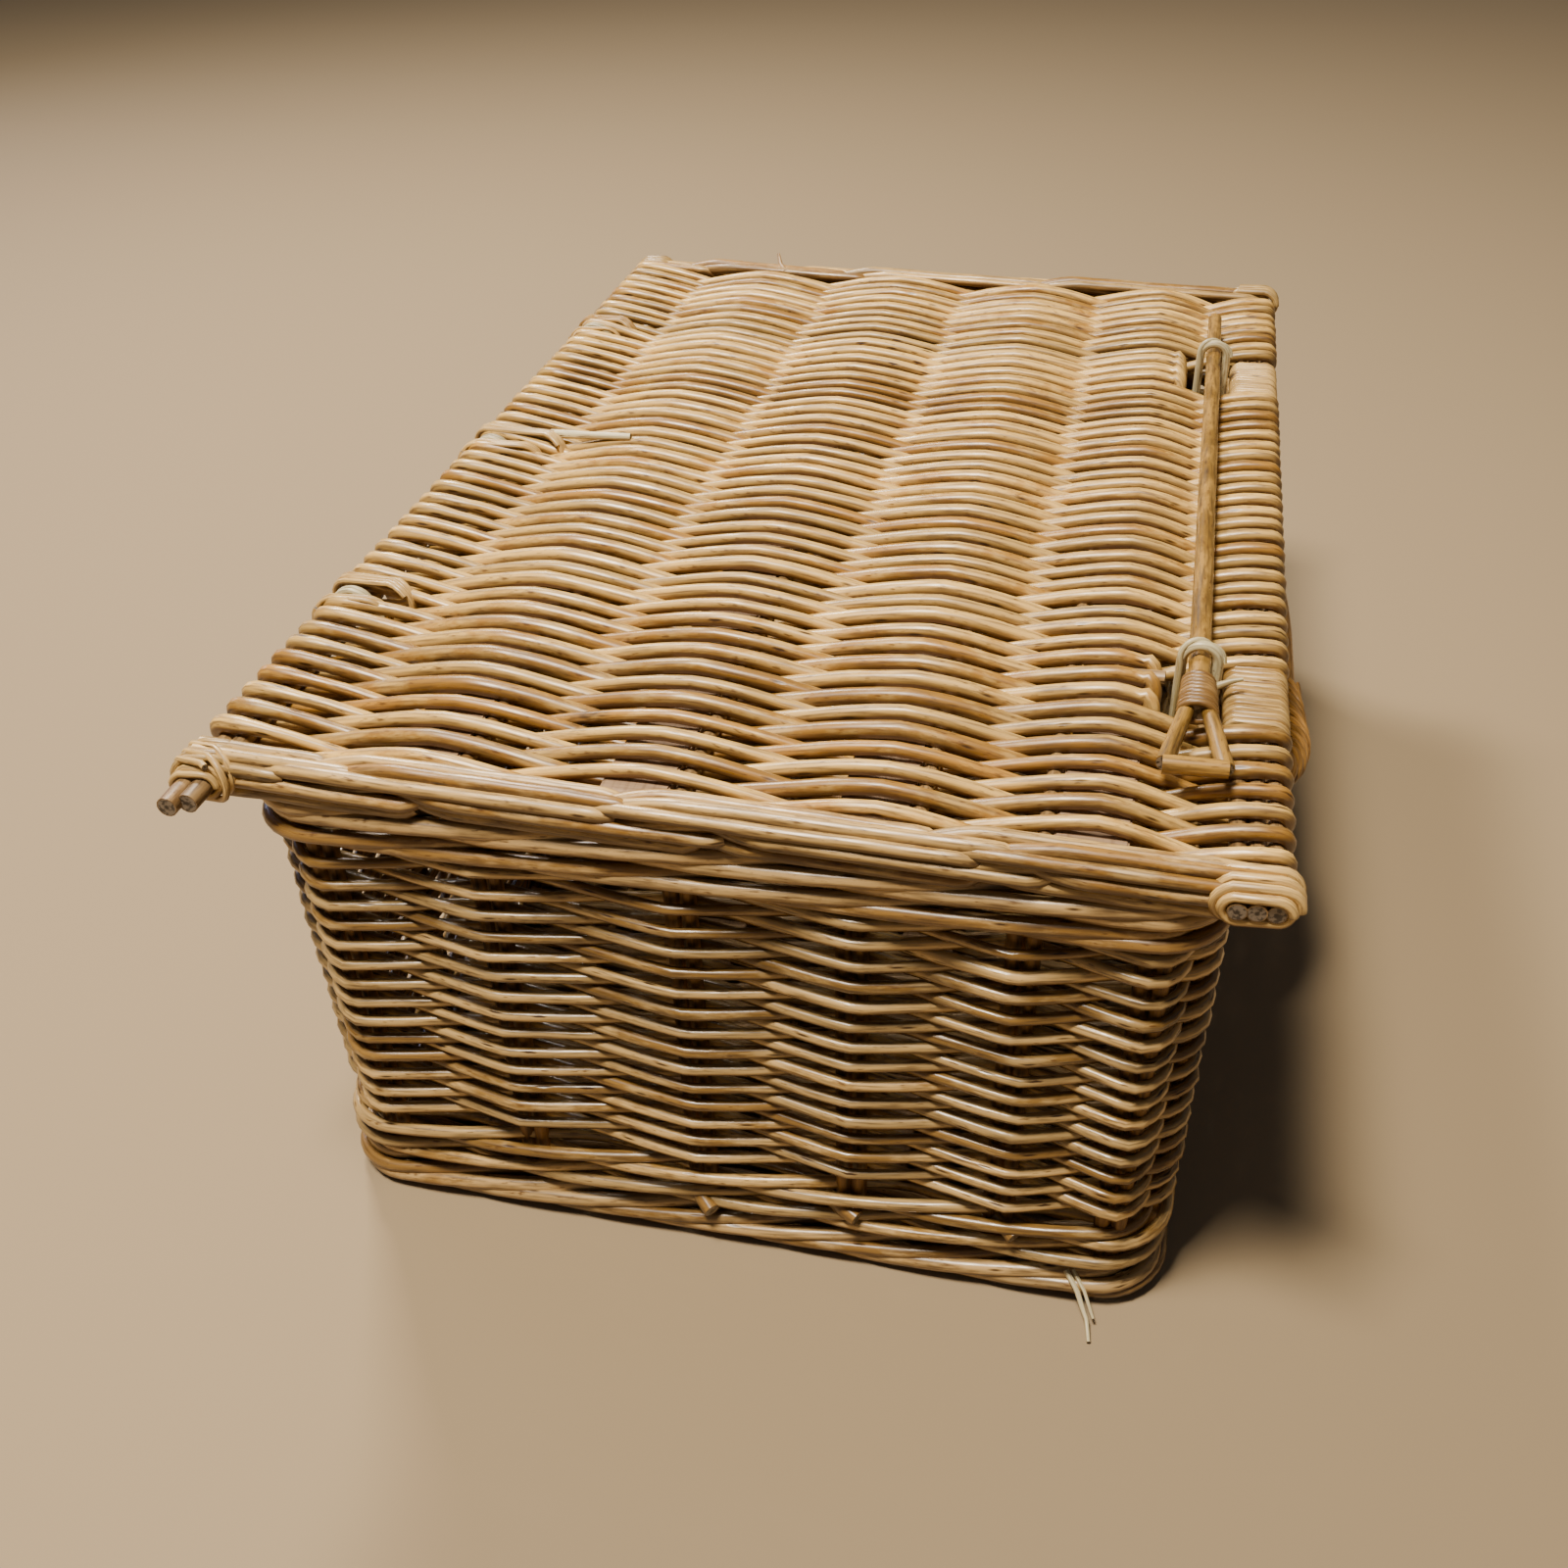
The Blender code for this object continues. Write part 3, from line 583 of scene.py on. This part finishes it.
def make_lid_wales():
    """Each end of the lid is closed by rods laid in five lanes round a twisted core."""
    ends = (LID_LOW.x + 4 * MM, LID_HIGH.x - 4 * MM)
    # Each lane's place in mm, in from the lid's end and up from its middle.
    places = ((14.0, 6.4), (8.0, 7.0), (4.0, 3.9), (3.6, -2.6), (5.2, -7.8))
    steps = 90
    for name, face, inward in (("near", LID_LOW.y, 1), ("far", LID_HIGH.y, -1)):
        rods = Rods()
        heart = np.array((face + inward * 9 * MM, LID_MID.z))
        lanes = [(face + inward * y * MM, LID_MID.z + z * MM) for y, z in places]
        lay_strokes(rods, ends, lanes, heart, WALE_ROD, 140 * MM)
        x = np.linspace(*ends, steps)
        path = np.column_stack((x, np.full(steps, heart[0]), np.full(steps, heart[1] - 1 * MM)))
        across = np.tile((0.0, -inward, 0.0), (steps, 1))
        twist(rods, path, across, (3.2 * MM, 3.8 * MM), 3, 2.2, WALE_CORE)
        rods.make(f"lid_{name}_wale_rods", "lid", "willow_wale", [f"lid_{name}_wale"], sides=11,
                  crooked=0.9, swelling=0.14)


def make_lid_sticks():
    """Round sticks along both long edges and beside each lath."""
    ends = (LID_LOW.y + 1.5 * MM, LID_HIGH.y - 1 * MM)
    # Each stick runs on past the near end by its own length in mm, and is thicker there.
    rows = (("lid_front_stick_row", FRONT_STICKS_X, "lid_front_sticks", (6.0, 5.5, 5.0), 0.1),
            ("lid_hinge_stick_row", HINGE_STICKS_X, "lid_hinge_sticks", (23.0, 19.0), 0.7))
    for name, places, node, proud, thicker in rows:
        rods = Rods()
        for x, extra in zip(places, proud):
            y = np.linspace(ends[0] - extra * MM, ends[1], 60)
            swell = thicker * MM * np.clip((ends[0] - y) / (8 * MM), 0, 1)
            rods.lay([(x, at, LID_MID.z) for at in y], STICK + swell)
        rods.make(name, "lid", "willow_stick", [node], sides=14, crooked=0.25, swelling=0.05)
    rods = Rods()
    for i, x in enumerate(LATH_X):
        # The last one keeps clear of the ring slots.
        side = -1 if i == len(LATH_X) - 1 else 1
        place = x + side * (LATH_HALF + 3.6 * MM)
        rods.lay([(place, y, LID_MID.z)
                  for y in np.linspace(LID_LOW.y + 8 * MM, LID_HIGH.y - 8 * MM, 90)], RIB_STICK)
    rods.make("lid_rib_sticks", "lid", "willow_stick", sides=10, crooked=0.8)


def lath(name, node, body, low, high):
    """A sawn strip with eased edges that bends a little between the weavers.

    It waves up and down every 100 mm or so, and sideways every 370 mm or so.
    """
    bm = bmesh.new()
    bmesh.ops.create_cube(bm, size=1)
    size = high - low
    for v in bm.verts:
        v.co = Vector([low[i] + (v.co[i] + 0.5) * size[i] for i in range(3)])
    long_edges = [e for e in bm.edges if abs((e.verts[0].co - e.verts[1].co).y) > size.y / 2]
    bmesh.ops.subdivide_edges(bm, edges=long_edges, cuts=60)
    sharp = [e for e in bm.edges if e.calc_face_angle(0) > 1]
    bmesh.ops.bevel(bm, geom=sharp, offset=0.8 * MM, segments=2, affect="EDGES")
    for v in bm.verts:
        v.co.z += 0.4 * MM * math.sin(v.co.y * 61 + low.x * 90)
        v.co.x += 0.9 * MM * math.sin(v.co.y * 17 + low.x * 40)
    mesh = bpy.data.meshes.new(name)
    bm.to_mesh(mesh)
    bm.free()
    mesh.materials.append(FINISH["sawn_lath"])
    mesh.shade_smooth()
    mesh.set_sharp_from_angle(angle=math.radians(40))
    keep(bpy.data.objects.new(name, mesh), body, [node])


def make_laths():
    """The four ribs of the lid, short of its end wales, and the two of the base."""
    inset = Vector((0, 8 * MM, 0))
    for i, node in enumerate(LATHS, start=1):
        low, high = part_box(node)
        lath(f"lid_rib_lath_{i}", node, "lid", low + inset, high - inset)
    for i in (1, 2):
        node = f"base_lath_{i}"
        lath(f"base_rib_lath_{i}", node, "basket", *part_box(node))


# Walls, borders and base

def outline(half_x, half_y, radius, step=7 * MM):
    """A rounded rectangle about the hamper's middle: places, outward directions and run."""
    flat_x, flat_y = half_x - radius, half_y - radius
    legs = ((Vector((-half_x, flat_y)), Vector((-half_x, -flat_y)), 180),
            (Vector((-flat_x, -half_y)), Vector((flat_x, -half_y)), 270),
            (Vector((half_x, -flat_y)), Vector((half_x, flat_y)), 0),
            (Vector((flat_x, half_y)), Vector((-flat_x, half_y)), 90))
    places, outward = [], []
    for start_point, end_point, degrees in legs:
        heading = math.radians(degrees)
        count = max(2, round((end_point - start_point).length / step))
        for i in range(count):
            places.append(start_point.lerp(end_point, i / count))
            outward.append((math.cos(heading), math.sin(heading)))
        centre = end_point - radius * Vector((math.cos(heading), math.sin(heading)))
        bends = max(3, round(radius * math.pi / 2 / (step * 0.6)))
        for i in range(bends):
            angle = heading + math.pi / 2 * i / bends
            places.append(centre + radius * Vector((math.cos(angle), math.sin(angle))))
            outward.append((math.cos(angle), math.sin(angle)))
    places = np.array([(p.x + LID_MID.x, p.y + LID_MID.y) for p in places])
    closed = np.vstack((places, places[:1]))
    run = np.r_[0, np.cumsum(np.linalg.norm(np.diff(closed, axis=0), axis=1))]
    return places, np.array(outward), run


def wall_half(z):
    """Half sizes of the wall's middle surface at height z, read from the stakes."""
    low, high = (slice_centre("front_stake_pair_4", top) for top in (False, True))
    end_low, end_high = (slice_centre("far_stake_pair_3", top) for top in (False, True))
    t = (z - low[2]) / (high[2] - low[2])
    return (low[0] + t * (high[0] - low[0]) - LID_MID.x,
            end_low[1] + t * (end_high[1] - end_low[1]) - LID_MID.y)


def stake_runs(z, places, run):
    """Where each stake pair stands along a round of the wall."""
    found = []
    for name in (n for n in NODES if "_stake_pair_" in n):
        low, high = slice_centre(name, False), slice_centre(name, True)
        t = (z - low[2]) / (high[2] - low[2])
        place = low + t * (high - low)
        found.append(run[np.argmin(np.linalg.norm(places - place[:2], axis=1))])
    return np.array(sorted(found))


def wall_rod(row, z, first, last, stakes, wall):
    """A rod's places along the wall, from run first to run last, in and out of the stakes."""
    places, outward, run = wall
    total = run[-1]
    sharp = 0.8
    s = np.arange(first, last, 4.8 * MM)
    knots = np.concatenate([stakes + total * lap for lap in (-1, 0, 1, 2)])
    k = np.searchsorted(knots, s) - 1
    t = (s - knots[k]) / (knots[k + 1] - knots[k])
    wave = (1 - sharp) * np.cos(math.pi * t) + sharp * (1 - 2 * t)
    off = np.where((k + row) % 2 == 0, 1, -1) * wave * WALL_WAVE
    ring = np.vstack((places, places[:1]))
    normals = np.vstack((outward, outward[:1]))
    x, y, nx, ny = (np.interp(s % total, run, v)
                    for v in (ring[:, 0], ring[:, 1], normals[:, 0], normals[:, 1]))
    return np.column_stack((x + nx * off, y + ny * off, np.full(len(s), z)))


def make_wall_weavers():
    """Randing: each rod goes outside one pair of stakes and inside the next."""
    bottom = BORDER_UNDER - 2.5 * MM - (WALL_ROWS - 1) * WALL_PITCH
    before, after = 7 * MM, 9 * MM          # how far a rod's ends pass its first and last stakes
    shortest = 6                            # stakes that the last rod of a row passes, at least
    parts = [Rods(), Rods()]
    for row in range(WALL_ROWS):
        z = bottom + row * WALL_PITCH
        wall = outline(*wall_half(z), CORNER)
        total = wall[2][-1]
        stakes = stake_runs(z, wall[0], wall[2])
        count = len(stakes)
        cut = int(chance.integers(0, count // 2)) * 2 + (row + 1) % 2
        end = cut + count
        while cut < end:
            span = min(int(chance.integers(4, 7)) * 2, end - cut)
            if end - cut - span < shortest:
                span = end - cut
            first = stakes[cut % count] + total * (cut // count) - before
            last = stakes[(cut + span) % count] + total * ((cut + span) // count) + after
            height = z + chance.normal(0, 0.25 * MM)
            butt, tip = (r * chance.uniform(0.93, 1.05) for r in WALL_ROD)
            points = wall_rod(row, height, first, last, stakes, wall)
            parts[row * 2 // WALL_ROWS].lay(points, butt, tip)
            cut += span
    parts[0].make("wall_weavers_low", "basket", "willow_wall",
                  ["near_wall_weave", "front_wall_weave"], crooked=0.8)
    parts[1].make("wall_weavers_high", "basket", "willow_wall",
                  ["far_wall_weave", "back_wall_weave"], crooked=0.8)


def make_stubs():
    """Cut ends of stakes and weavers that poke out of the walls above the foot."""
    rods = Rods()
    near = slice_centre("near_stake_pair_3", False)[1]
    # Each one in mm: place along its wall from the middle, height, how far out, lean along it.
    for off, z, reach, lean in ((-8, 22, 11, 8), (60, 31, 9, 12), (131, 36, 9, 7)):
        rods.lay(from_mm((LID_MID.x, near, 0), (off - lean * 2, 4, z + 5), (off, -reach, z)),
                 3.9 * MM, tone=0.9)
    for side, off, z in ((1, -120, 28), (1, 20, 24), (1, 150, 31), (-1, -60, 26), (-1, 90, 30)):
        x = slice_centre("front_stake_pair_4" if side > 0 else "back_stake_pair_4", False)[0]
        rods.lay(from_mm((x, LID_MID.y, 0), (-side * 4, off - 12, z + 4), (side * 13, off, z)),
                 STUB, tone=0.8)
    rods.make("cut_stubs", "basket", "willow_border", sides=12, crooked=0.0, swelling=0.05)


def make_split_tail():
    """The split tip of a foot rod that lies on the floor in front of the near corner."""
    rods = Rods()
    x, y, _ = slice_centre("near_stake_pair_6", False)
    tail = ((-16, -6, 16), (-10, -13, 11), (-5, -22, 5), (-3, -31, 1.6))
    rods.lay(from_mm((x, y, 0), *tail), 1.5 * MM, 0.9 * MM, tone=0.1)
    rods.lay(from_mm((x + 3 * MM, y + 1 * MM, 0), *tail[:3]), 1.2 * MM, 0.7 * MM, tone=0.1)
    rods.make("split_tail", "basket", "split_cane", crooked=0.2)


def ring_path(z):
    """Once round the middle of the walls at height z: places and outward directions."""
    places, outward, _ = outline(*wall_half(z), CORNER)
    path = np.column_stack((places, np.full(len(places), z)))
    return path, np.column_stack((outward, np.zeros(len(outward))))


def make_upsett():
    """Two rounds of three-rod waling between the foot and the randing."""
    rods = Rods()
    for z, start_turn in ((FOOT_TOP + 7.5 * MM, 0.0), (FOOT_TOP + 22 * MM, 0.17)):
        path, outward = ring_path(z)
        twist(rods, path, outward, (7.2 * MM, 3.7 * MM), 3, 9, UPSETT_ROD, loop=True,
              start_turn=start_turn, linger=0.3)
    rods.make("upsett_waling", "basket", "willow_wall", crooked=1.2)


def make_borders():
    """The top border is two rounds of three rods, and the foot border one round of five."""
    rods = Rods()
    for lift, turns, start_turn in ((18.4 * MM, 8, 0.0), (6.6 * MM, 7, 0.2)):
        path, outward = ring_path(BORDER_UNDER + lift)
        twist(rods, path, outward, (7.2 * MM, 3.6 * MM), 3, turns, BORDER_ROD, loop=True,
              start_turn=start_turn, linger=0.55)
    rods.make("top_border_rods", "basket", "willow_border",
              [f"{side}_top_border" for side in SIDES], sides=10, crooked=1.2, swelling=0.14)
    rods = Rods()
    path, outward = ring_path(FOOT_TOP / 2)
    twist(rods, path, outward, (8.0 * MM, 5.3 * MM), 5, 8, FOOT_ROD, loop=True, linger=0.35)
    rods.make("foot_border_rods", "basket", "willow_border",
              [f"{side}_foot_border" for side in SIDES], sides=10, crooked=0.8, swelling=0.12)


def make_base():
    """The bottom: rods woven across two laths and three round sticks."""
    laths = [middle(f"base_lath_{i}").x for i in (1, 2)]
    step = laths[1] - laths[0]
    sticks = [laths[0] - step / 2, LID_MID.x, laths[1] + step / 2]
    ribs = sorted([BASE_LOW.x - 10 * MM, *laths, *sticks, BASE_HIGH.x + 10 * MM])
    z = (BASE_LOW.z + BASE_HIGH.z) / 2
    rods = Rods()
    pitch, wave, steps = 5.6 * MM, 5.4 * MM, 52
    count = round((BASE_HIGH.y - BASE_LOW.y) / pitch)
    x = np.linspace(BASE_LOW.x - 1 * MM, BASE_HIGH.x + 1 * MM, steps)
    for row in range(count):
        y = BASE_LOW.y + (row + 0.5) * (BASE_HIGH.y - BASE_LOW.y) / count
        lift = ribs_wave(x, ribs, [wave] * len(ribs), 1 if row % 2 else -1, 0.2)
        rods.lay(np.column_stack((x, np.full(steps, y), z + lift)),
                 BASE_ROD * chance.uniform(0.95, 1.1))
    rods.make("base_weavers", "basket", "willow_base", ["base_weave"], crooked=0.7)
    rods = Rods()
    for place in sticks:
        rods.lay([(place, y, z) for y in np.linspace(BASE_LOW.y, BASE_HIGH.y, 60)], BASE_STICK)
    rods.make("base_sticks", "basket", "willow_stick")


# Rings, ties, rod and handle

def hoop(centre_top, centre_low, radius, steps=14):
    """A closed loop in the XZ plane round two centres, with its outward directions."""
    way = (centre_top - centre_low).normalized()
    across = Vector((way.z, 0, -way.x))
    points, outward = [], []
    for centre, turn in ((centre_top, 0.0), (centre_low, math.pi)):
        for i in range(steps + 1):
            angle = turn + math.pi * i / steps
            direction = math.cos(angle) * across + math.sin(angle) * way
            points.append(centre + radius * direction)
            outward.append(direction)
    return points, outward


def make_rings():
    """Each ring is a thick cane with a thinner one wound round its outside."""
    for node, y in zip(RINGS, RING_Y):
        low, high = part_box(node)
        cane = (high - low).y / 2
        radius = (high - low).x / 2 - cane - 1.0 * MM
        x = (low.x + high.x) / 2
        points, outward = hoop(Vector((x, y, high.z - cane - radius)),
                               Vector((x, y, low.z + cane + radius)), radius)
        rods = Rods()
        rods.lay(points, RING_CANE, loop=True)
        turns, out = 1.5, 2.4 * MM
        second = []
        for i, (point, way) in enumerate(zip(points, outward)):
            angle = 2 * math.pi * turns * i / (len(points) - 1)
            second.append(point + out * (abs(math.cos(angle)) * way
                                         + math.sin(angle) * Vector((0, 1, 0))))
        rods.lay(second, RING_SKEIN)
        rods.make(f"cane_ring_{RINGS.index(node) + 1}", "basket", "split_cane", [node], sides=8,
                  crooked=0.1)


def make_ties():
    """Cane hoops that hold the hinge sticks to the border, two strands each."""
    top = Vector((sum(HINGE_STICKS_X) / 2, 0, LID_MID.z))
    for i, node in enumerate(TIES):
        low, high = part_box(node)
        cane = (high - low).y / 2
        reach = top.x - low.x - cane
        drop = Vector((high.x - cane - reach - top.x, 0, low.z + cane + reach - top.z))
        rods = Rods()
        for shift in (-TIE_CANE, TIE_CANE):
            centre = top + Vector((0, TIE_Y[i] + shift, 0))
            points, _ = hoop(centre, centre + drop, reach)
            rods.lay(points, TIE_CANE, loop=True)
        rods.make(f"cane_tie_{i + 1}", "basket", "split_cane", [node], crooked=0.2)


def wind(rods, left, right, out, ends, turns, radius, lean=0.0, start_turn=0.0):
    """A skein wound round what lies between left and right, from one end along Y to the other.

    Out is how far off those places it lies, and lean skews each turn along Y.
    """
    per_turn = 20
    count = round(turns * per_turn)
    path = []
    for i in range(count + 1):
        angle = 2 * math.pi * (i / per_turn + start_turn)
        side = right if math.cos(angle) > 0 else left
        path.append((side + out * math.cos(angle),
                     ends[0] + (ends[1] - ends[0]) * i / count + lean * math.cos(angle),
                     LID_MID.z + out * math.sin(angle)))
    rods.lay(path, radius)


def make_skeins():
    """Split cane wound closely round the front sticks beside each ring slot."""
    rods = Rods()
    half, sunk = 25 * MM, 0.2 * MM
    for y in RING_Y:
        wind(rods, FRONT_STICKS_X[0], FRONT_STICKS_X[2], STICK + SLOT_SKEIN - sunk,
             (y - half, y + half), 14, SLOT_SKEIN)
    rods.make("slot_skeins", "lid", "buff_skein", crooked=0.5, spacing=12 * MM, swelling=0.15)


def make_corner_bindings():
    """Skeins and small rods that bind the stick ends at the lid's four corners."""
    rods = Rods()
    front, hinge = (FRONT_STICKS_X[0], FRONT_STICKS_X[2]), HINGE_STICKS_X
    near, far = LID_LOW.y, LID_HIGH.y
    # Sticks and lid end; in mm, how far off the sticks, and from and to along Y from that end;
    # turns; in mm, the radius and the lean; and the turn it starts at.
    bindings = ((front, near, 2.0, -3.6, 2, 2.2, 2.0, 0, 0),
                (front, near, 4.6, -1, 13, 2.6, 2.2, 1.5, 0),
                (front, far, 4.6, -12, -3, 2.3, 2.2, -1.5, 0),
                (hinge, near, 5.0, 1, 14, 3.4, 1.7, 3.5, 0),
                (hinge, near, 5.8, -3, 12, 2.7, 1.5, -5.5, 0.2),
                (hinge, near, 2.2, -7, 2, 2.1, 1.6, 2.0, 0),
                (hinge, far, 4.8, -12, -2, 2.5, 2.2, 2.0, 0))
    for sticks, end, off, first, last, turns, radius, lean, start_turn in bindings:
        wind(rods, *sticks, STICK + off * MM, (end + first * MM, end + last * MM), turns,
             radius * MM, lean * MM, start_turn)
    rods.make("corner_bindings", "lid", "buff_skein", crooked=0.8, spacing=14 * MM, swelling=0.15)


def make_tie_knots():
    """Skeins over the lid's weavers on both sides of each hinge tie, wound as repairs are."""
    rods = Rods()
    left = HINGE_STICKS_X[0]
    clear, far_side, near_side = 5.5 * MM, 13 * MM, -12 * MM
    # For each tie: how far the far skein reaches in over the lid, its turns and its lean.
    knots = ((20 * MM, 3.5, 3 * MM), (33 * MM, 4.3, 5 * MM), (18 * MM, 2.3, 3 * MM))
    for y, (inner, turns, lean) in zip(TIE_Y, knots):
        wind(rods, left, left + inner, STICK + 7.2 * MM, (y + clear, y + far_side), turns,
             1.35 * MM, -lean, 0.1)
        wind(rods, left, left + inner * 0.7, STICK + 6.8 * MM, (y + near_side, y - clear),
             turns - 1, 1.3 * MM, lean * 0.7, 0.4)
    rods.make("tie_skeins", "lid", "buff_skein", crooked=0.8, spacing=14 * MM, swelling=0.12)


def make_oddments():
    """Loose and cut ends on the lid."""
    slot_left = LATH_X[3] + LATH_HALF
    top_middle = (LID_MID.x, LID_MID.y, LID_HIGH.z)
    rods = Rods()
    # A peg across the near slot's edge.
    rods.lay(from_mm((slot_left, RING_Y[0], LID_MID.z), (-8, 7, 3), (8, 6, 4)), 3.4 * MM)
    # A tip that sticks up at the far end.
    rods.lay(from_mm((LID_MID.x, *LID_HIGH.yz), (-112, -16, -3), (-118, -5, -1), (-121, 2, 4)),
             2.2 * MM, 1.0 * MM)
    rods.make("lid_cut_ends", "lid", "willow_stick", sides=12, crooked=0.1)
    rods = Rods()
    # A sliver beside the near ring.
    rods.lay(from_mm(((ROD_LOW.x + ROD_HIGH.x) / 2, RING_Y[0], LID_HIGH.z), (8, -6, 0),
                     (13, -6, 3), (18, -5, 4)), 1.8 * MM, 0.8 * MM)
    # A split weaver that has lifted near the back edge.
    rods.lay(from_mm(top_middle, (-178, 10, -1), (-155, 9, 0), (-131, 9, 1)), 2.7 * MM, 2.0 * MM)
    rods.make("lid_loose_skeins", "lid", "split_cane", crooked=0.2)


def make_rod():
    """The brown locking rod; its near end is split into two legs that a cross-bar joins."""
    rods = Rods()
    low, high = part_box("rod_binding")
    x, z = (low.x + high.x) / 2, (low.z + high.z) / 2
    neck = low.y + 3 * MM
    rods.lay([(x, y, z) for y in np.linspace(neck, ROD_HIGH.y, 70)], *LOCK_ROD, tone=0.6)
    half = (ROD_HIGH - ROD_LOW).x / 2 - 3.4 * MM
    foot = ROD_LOW.y + 3.6 * MM
    for side in (-1, 1):
        leg = np.linspace((x + side * 2.2 * MM, neck + 14 * MM, z), (x + side * half, foot, z), 12)
        rods.lay(leg, *LOOP_LEG, tone=0.55)
    past, askew = 1 * MM, 0.4 * MM
    rods.lay(np.linspace((x - half - past, foot - askew, z), (x + half + past, foot + askew, z), 6),
             *LOOP_BAR, tone=0.2)
    rods.make("locking_rod_and_loop", "rod", "brown_willow", ["locking_rod"], sides=14,
              crooked=0.3, swelling=0.07)


def make_rod_binding():
    """The skein round the neck of the loop, wider where the legs begin to part."""
    low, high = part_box("rod_binding")
    x, z = (low.x + high.x) / 2, (low.z + high.z) / 2
    turns, per_turn = 9, 16
    inset = 1.5 * MM
    path = []
    for i in range(turns * per_turn + 1):
        angle = 2 * math.pi * i / per_turn
        t = i / (turns * per_turn)
        wide, tall = 5.6 * MM + 1.6 * MM * (1 - t), 5.0 * MM
        path.append((x + wide * math.cos(angle),
                     low.y + inset + t * (high.y - low.y - 2 * inset), z + tall * math.sin(angle)))
    rods = Rods()
    rods.lay(path, LOOP_SKEIN)
    rods.make("rod_skein_binding", "rod", "brown_skein", ["rod_binding"], crooked=0.15)


def make_handle():
    """A bowed core rod whose near part is wrapped by the strands of the rope."""
    wall = HANDLE_LOW.x - 5 * MM
    radius = 7 * MM                         # of the core and the strands together
    y0, y1 = HANDLE_LOW.y + radius, HANDLE_HIGH.y - radius
    top = HANDLE_HIGH.z - radius
    droop = top - HANDLE_LOW.z - radius
    reach = HANDLE_HIGH.x - radius - wall
    t = np.linspace(0, 1, 90)
    bow = np.sin(math.pi * t ** 0.6)        # hangs lowest before its middle
    bulge = 0.15 * np.exp(-((t - 0.16) / 0.17) ** 2)
    out = np.sin(math.pi * t) ** 0.15 * (0.77 + bulge)
    path = np.column_stack((wall + reach * out, y0 + (y1 - y0) * t, top - droop * bow))
    way = np.gradient(path, axis=0)
    way /= np.linalg.norm(way, axis=1)[:, None]
    across = np.cross(way, UP)
    across /= np.linalg.norm(across, axis=1)[:, None]
    rods = Rods()
    rods.lay(path, HANDLE_CORE)
    strands = Rods()
    near = slice(0, 40)
    twist(strands, path[near], across[near], (4.9 * MM, 4.9 * MM), 7, 2.4, HANDLE_STRAND)
    rods.make("handle_core", "basket", "willow_rope", ["front_handle"], sides=12, crooked=0.4)
    strands.make("handle_rope", "basket", "willow_rope", sides=9, crooked=0.6)


def finish_stakes():
    """The stakes keep the frame's shape and only get their skin."""
    for name, obj in NODES.items():
        if "stake" in name:
            obj.data.materials.clear()
            obj.data.materials.append(FINISH["willow_stake"])


# Stage

def floor():
    """A plain sheet of warm buff paper, far wider than the hamper."""
    mesh = bpy.data.meshes.new("floor")
    half = 9.0
    mesh.from_pydata([(-half, -half, 0), (half, -half, 0), (half, half, 0), (-half, half, 0)], [],
                     [(0, 1, 2, 3)])
    mat, tree = start("floor_paper")
    paper = add(tree, "ShaderNodeBsdfPrincipled",
                {"Base Color": linear("#a38d6c"), "Roughness": 0.8})
    add(tree, "ShaderNodeOutputMaterial", {0: paper})
    mesh.materials.append(mat)
    obj = bpy.data.objects.new("floor", mesh)
    bpy.context.scene.collection.objects.link(obj)


def light(name, place, aim, size, watts, colour):
    """A square soft light that looks at aim."""
    data = bpy.data.lights.new(name, "AREA")
    data.shape = "SQUARE"
    data.size = size
    data.energy = watts
    data.color = linear(colour)[:3]
    obj = bpy.data.objects.new(name, data)
    obj.location = place
    obj.rotation_euler = (Vector(aim) - Vector(place)).to_track_quat("-Z", "Y").to_euler()
    bpy.context.scene.collection.objects.link(obj)


def make_stage():
    """Floor, two warm softboxes above, a little cool daylight from the back and a dim room."""
    floor()
    light("softbox", (-0.40, -0.80, 2.5), (0, -0.05, 0.15), 0.50, 102, "#fff4e4")
    light("far_softbox", (-1.10, 1.25, 2.0), (0, 0.05, 0.15), 0.42, 64, "#fff6ea")
    light("window_light", (-2.2, 1.2, 0.9), (0, 0, 0.15), 0.9, 7, "#c8d4ff")
    world = bpy.data.worlds.new("studio")
    world.use_nodes = True
    back = world.node_tree.nodes["Background"]
    back.inputs[0].default_value = linear("#b9bcc4")
    back.inputs[1].default_value = 0.17
    bpy.context.scene.world = world


def make_camera():
    """Seen from the near end and above, a little to the front side."""
    place = (0.1358, -0.789, 0.6192)
    heading, pitch, roll = (math.radians(a) for a in (14.0, 35.4, -1.7))
    ahead = Vector((-math.sin(heading) * math.cos(pitch), math.cos(heading) * math.cos(pitch),
                    -math.sin(pitch)))
    right = ahead.cross(Vector(UP)).normalized()
    up = right.cross(ahead)
    right, up = (right * math.cos(roll) + up * math.sin(roll),
                 up * math.cos(roll) - right * math.sin(roll))
    data = bpy.data.cameras.new("camera")
    data.sensor_width = 36
    data.lens = 37.3
    camera = bpy.data.objects.new("camera", data)
    bpy.context.scene.collection.objects.link(camera)
    turn = Matrix((right, up, -ahead)).transposed().to_4x4()
    camera.matrix_world = Matrix.Translation(place) @ turn
    bpy.context.scene.camera = camera


def main():
    make_camera()
    make_stage()
    make_lid_weavers()
    make_lid_wales()
    make_lid_sticks()
    make_laths()
    make_wall_weavers()
    make_upsett()
    make_borders()
    make_base()
    make_rings()
    make_ties()
    make_skeins()
    make_corner_bindings()
    make_tie_knots()
    make_oddments()
    make_stubs()
    make_split_tail()
    make_rod()
    make_rod_binding()
    make_handle()
    finish_stakes()


main()
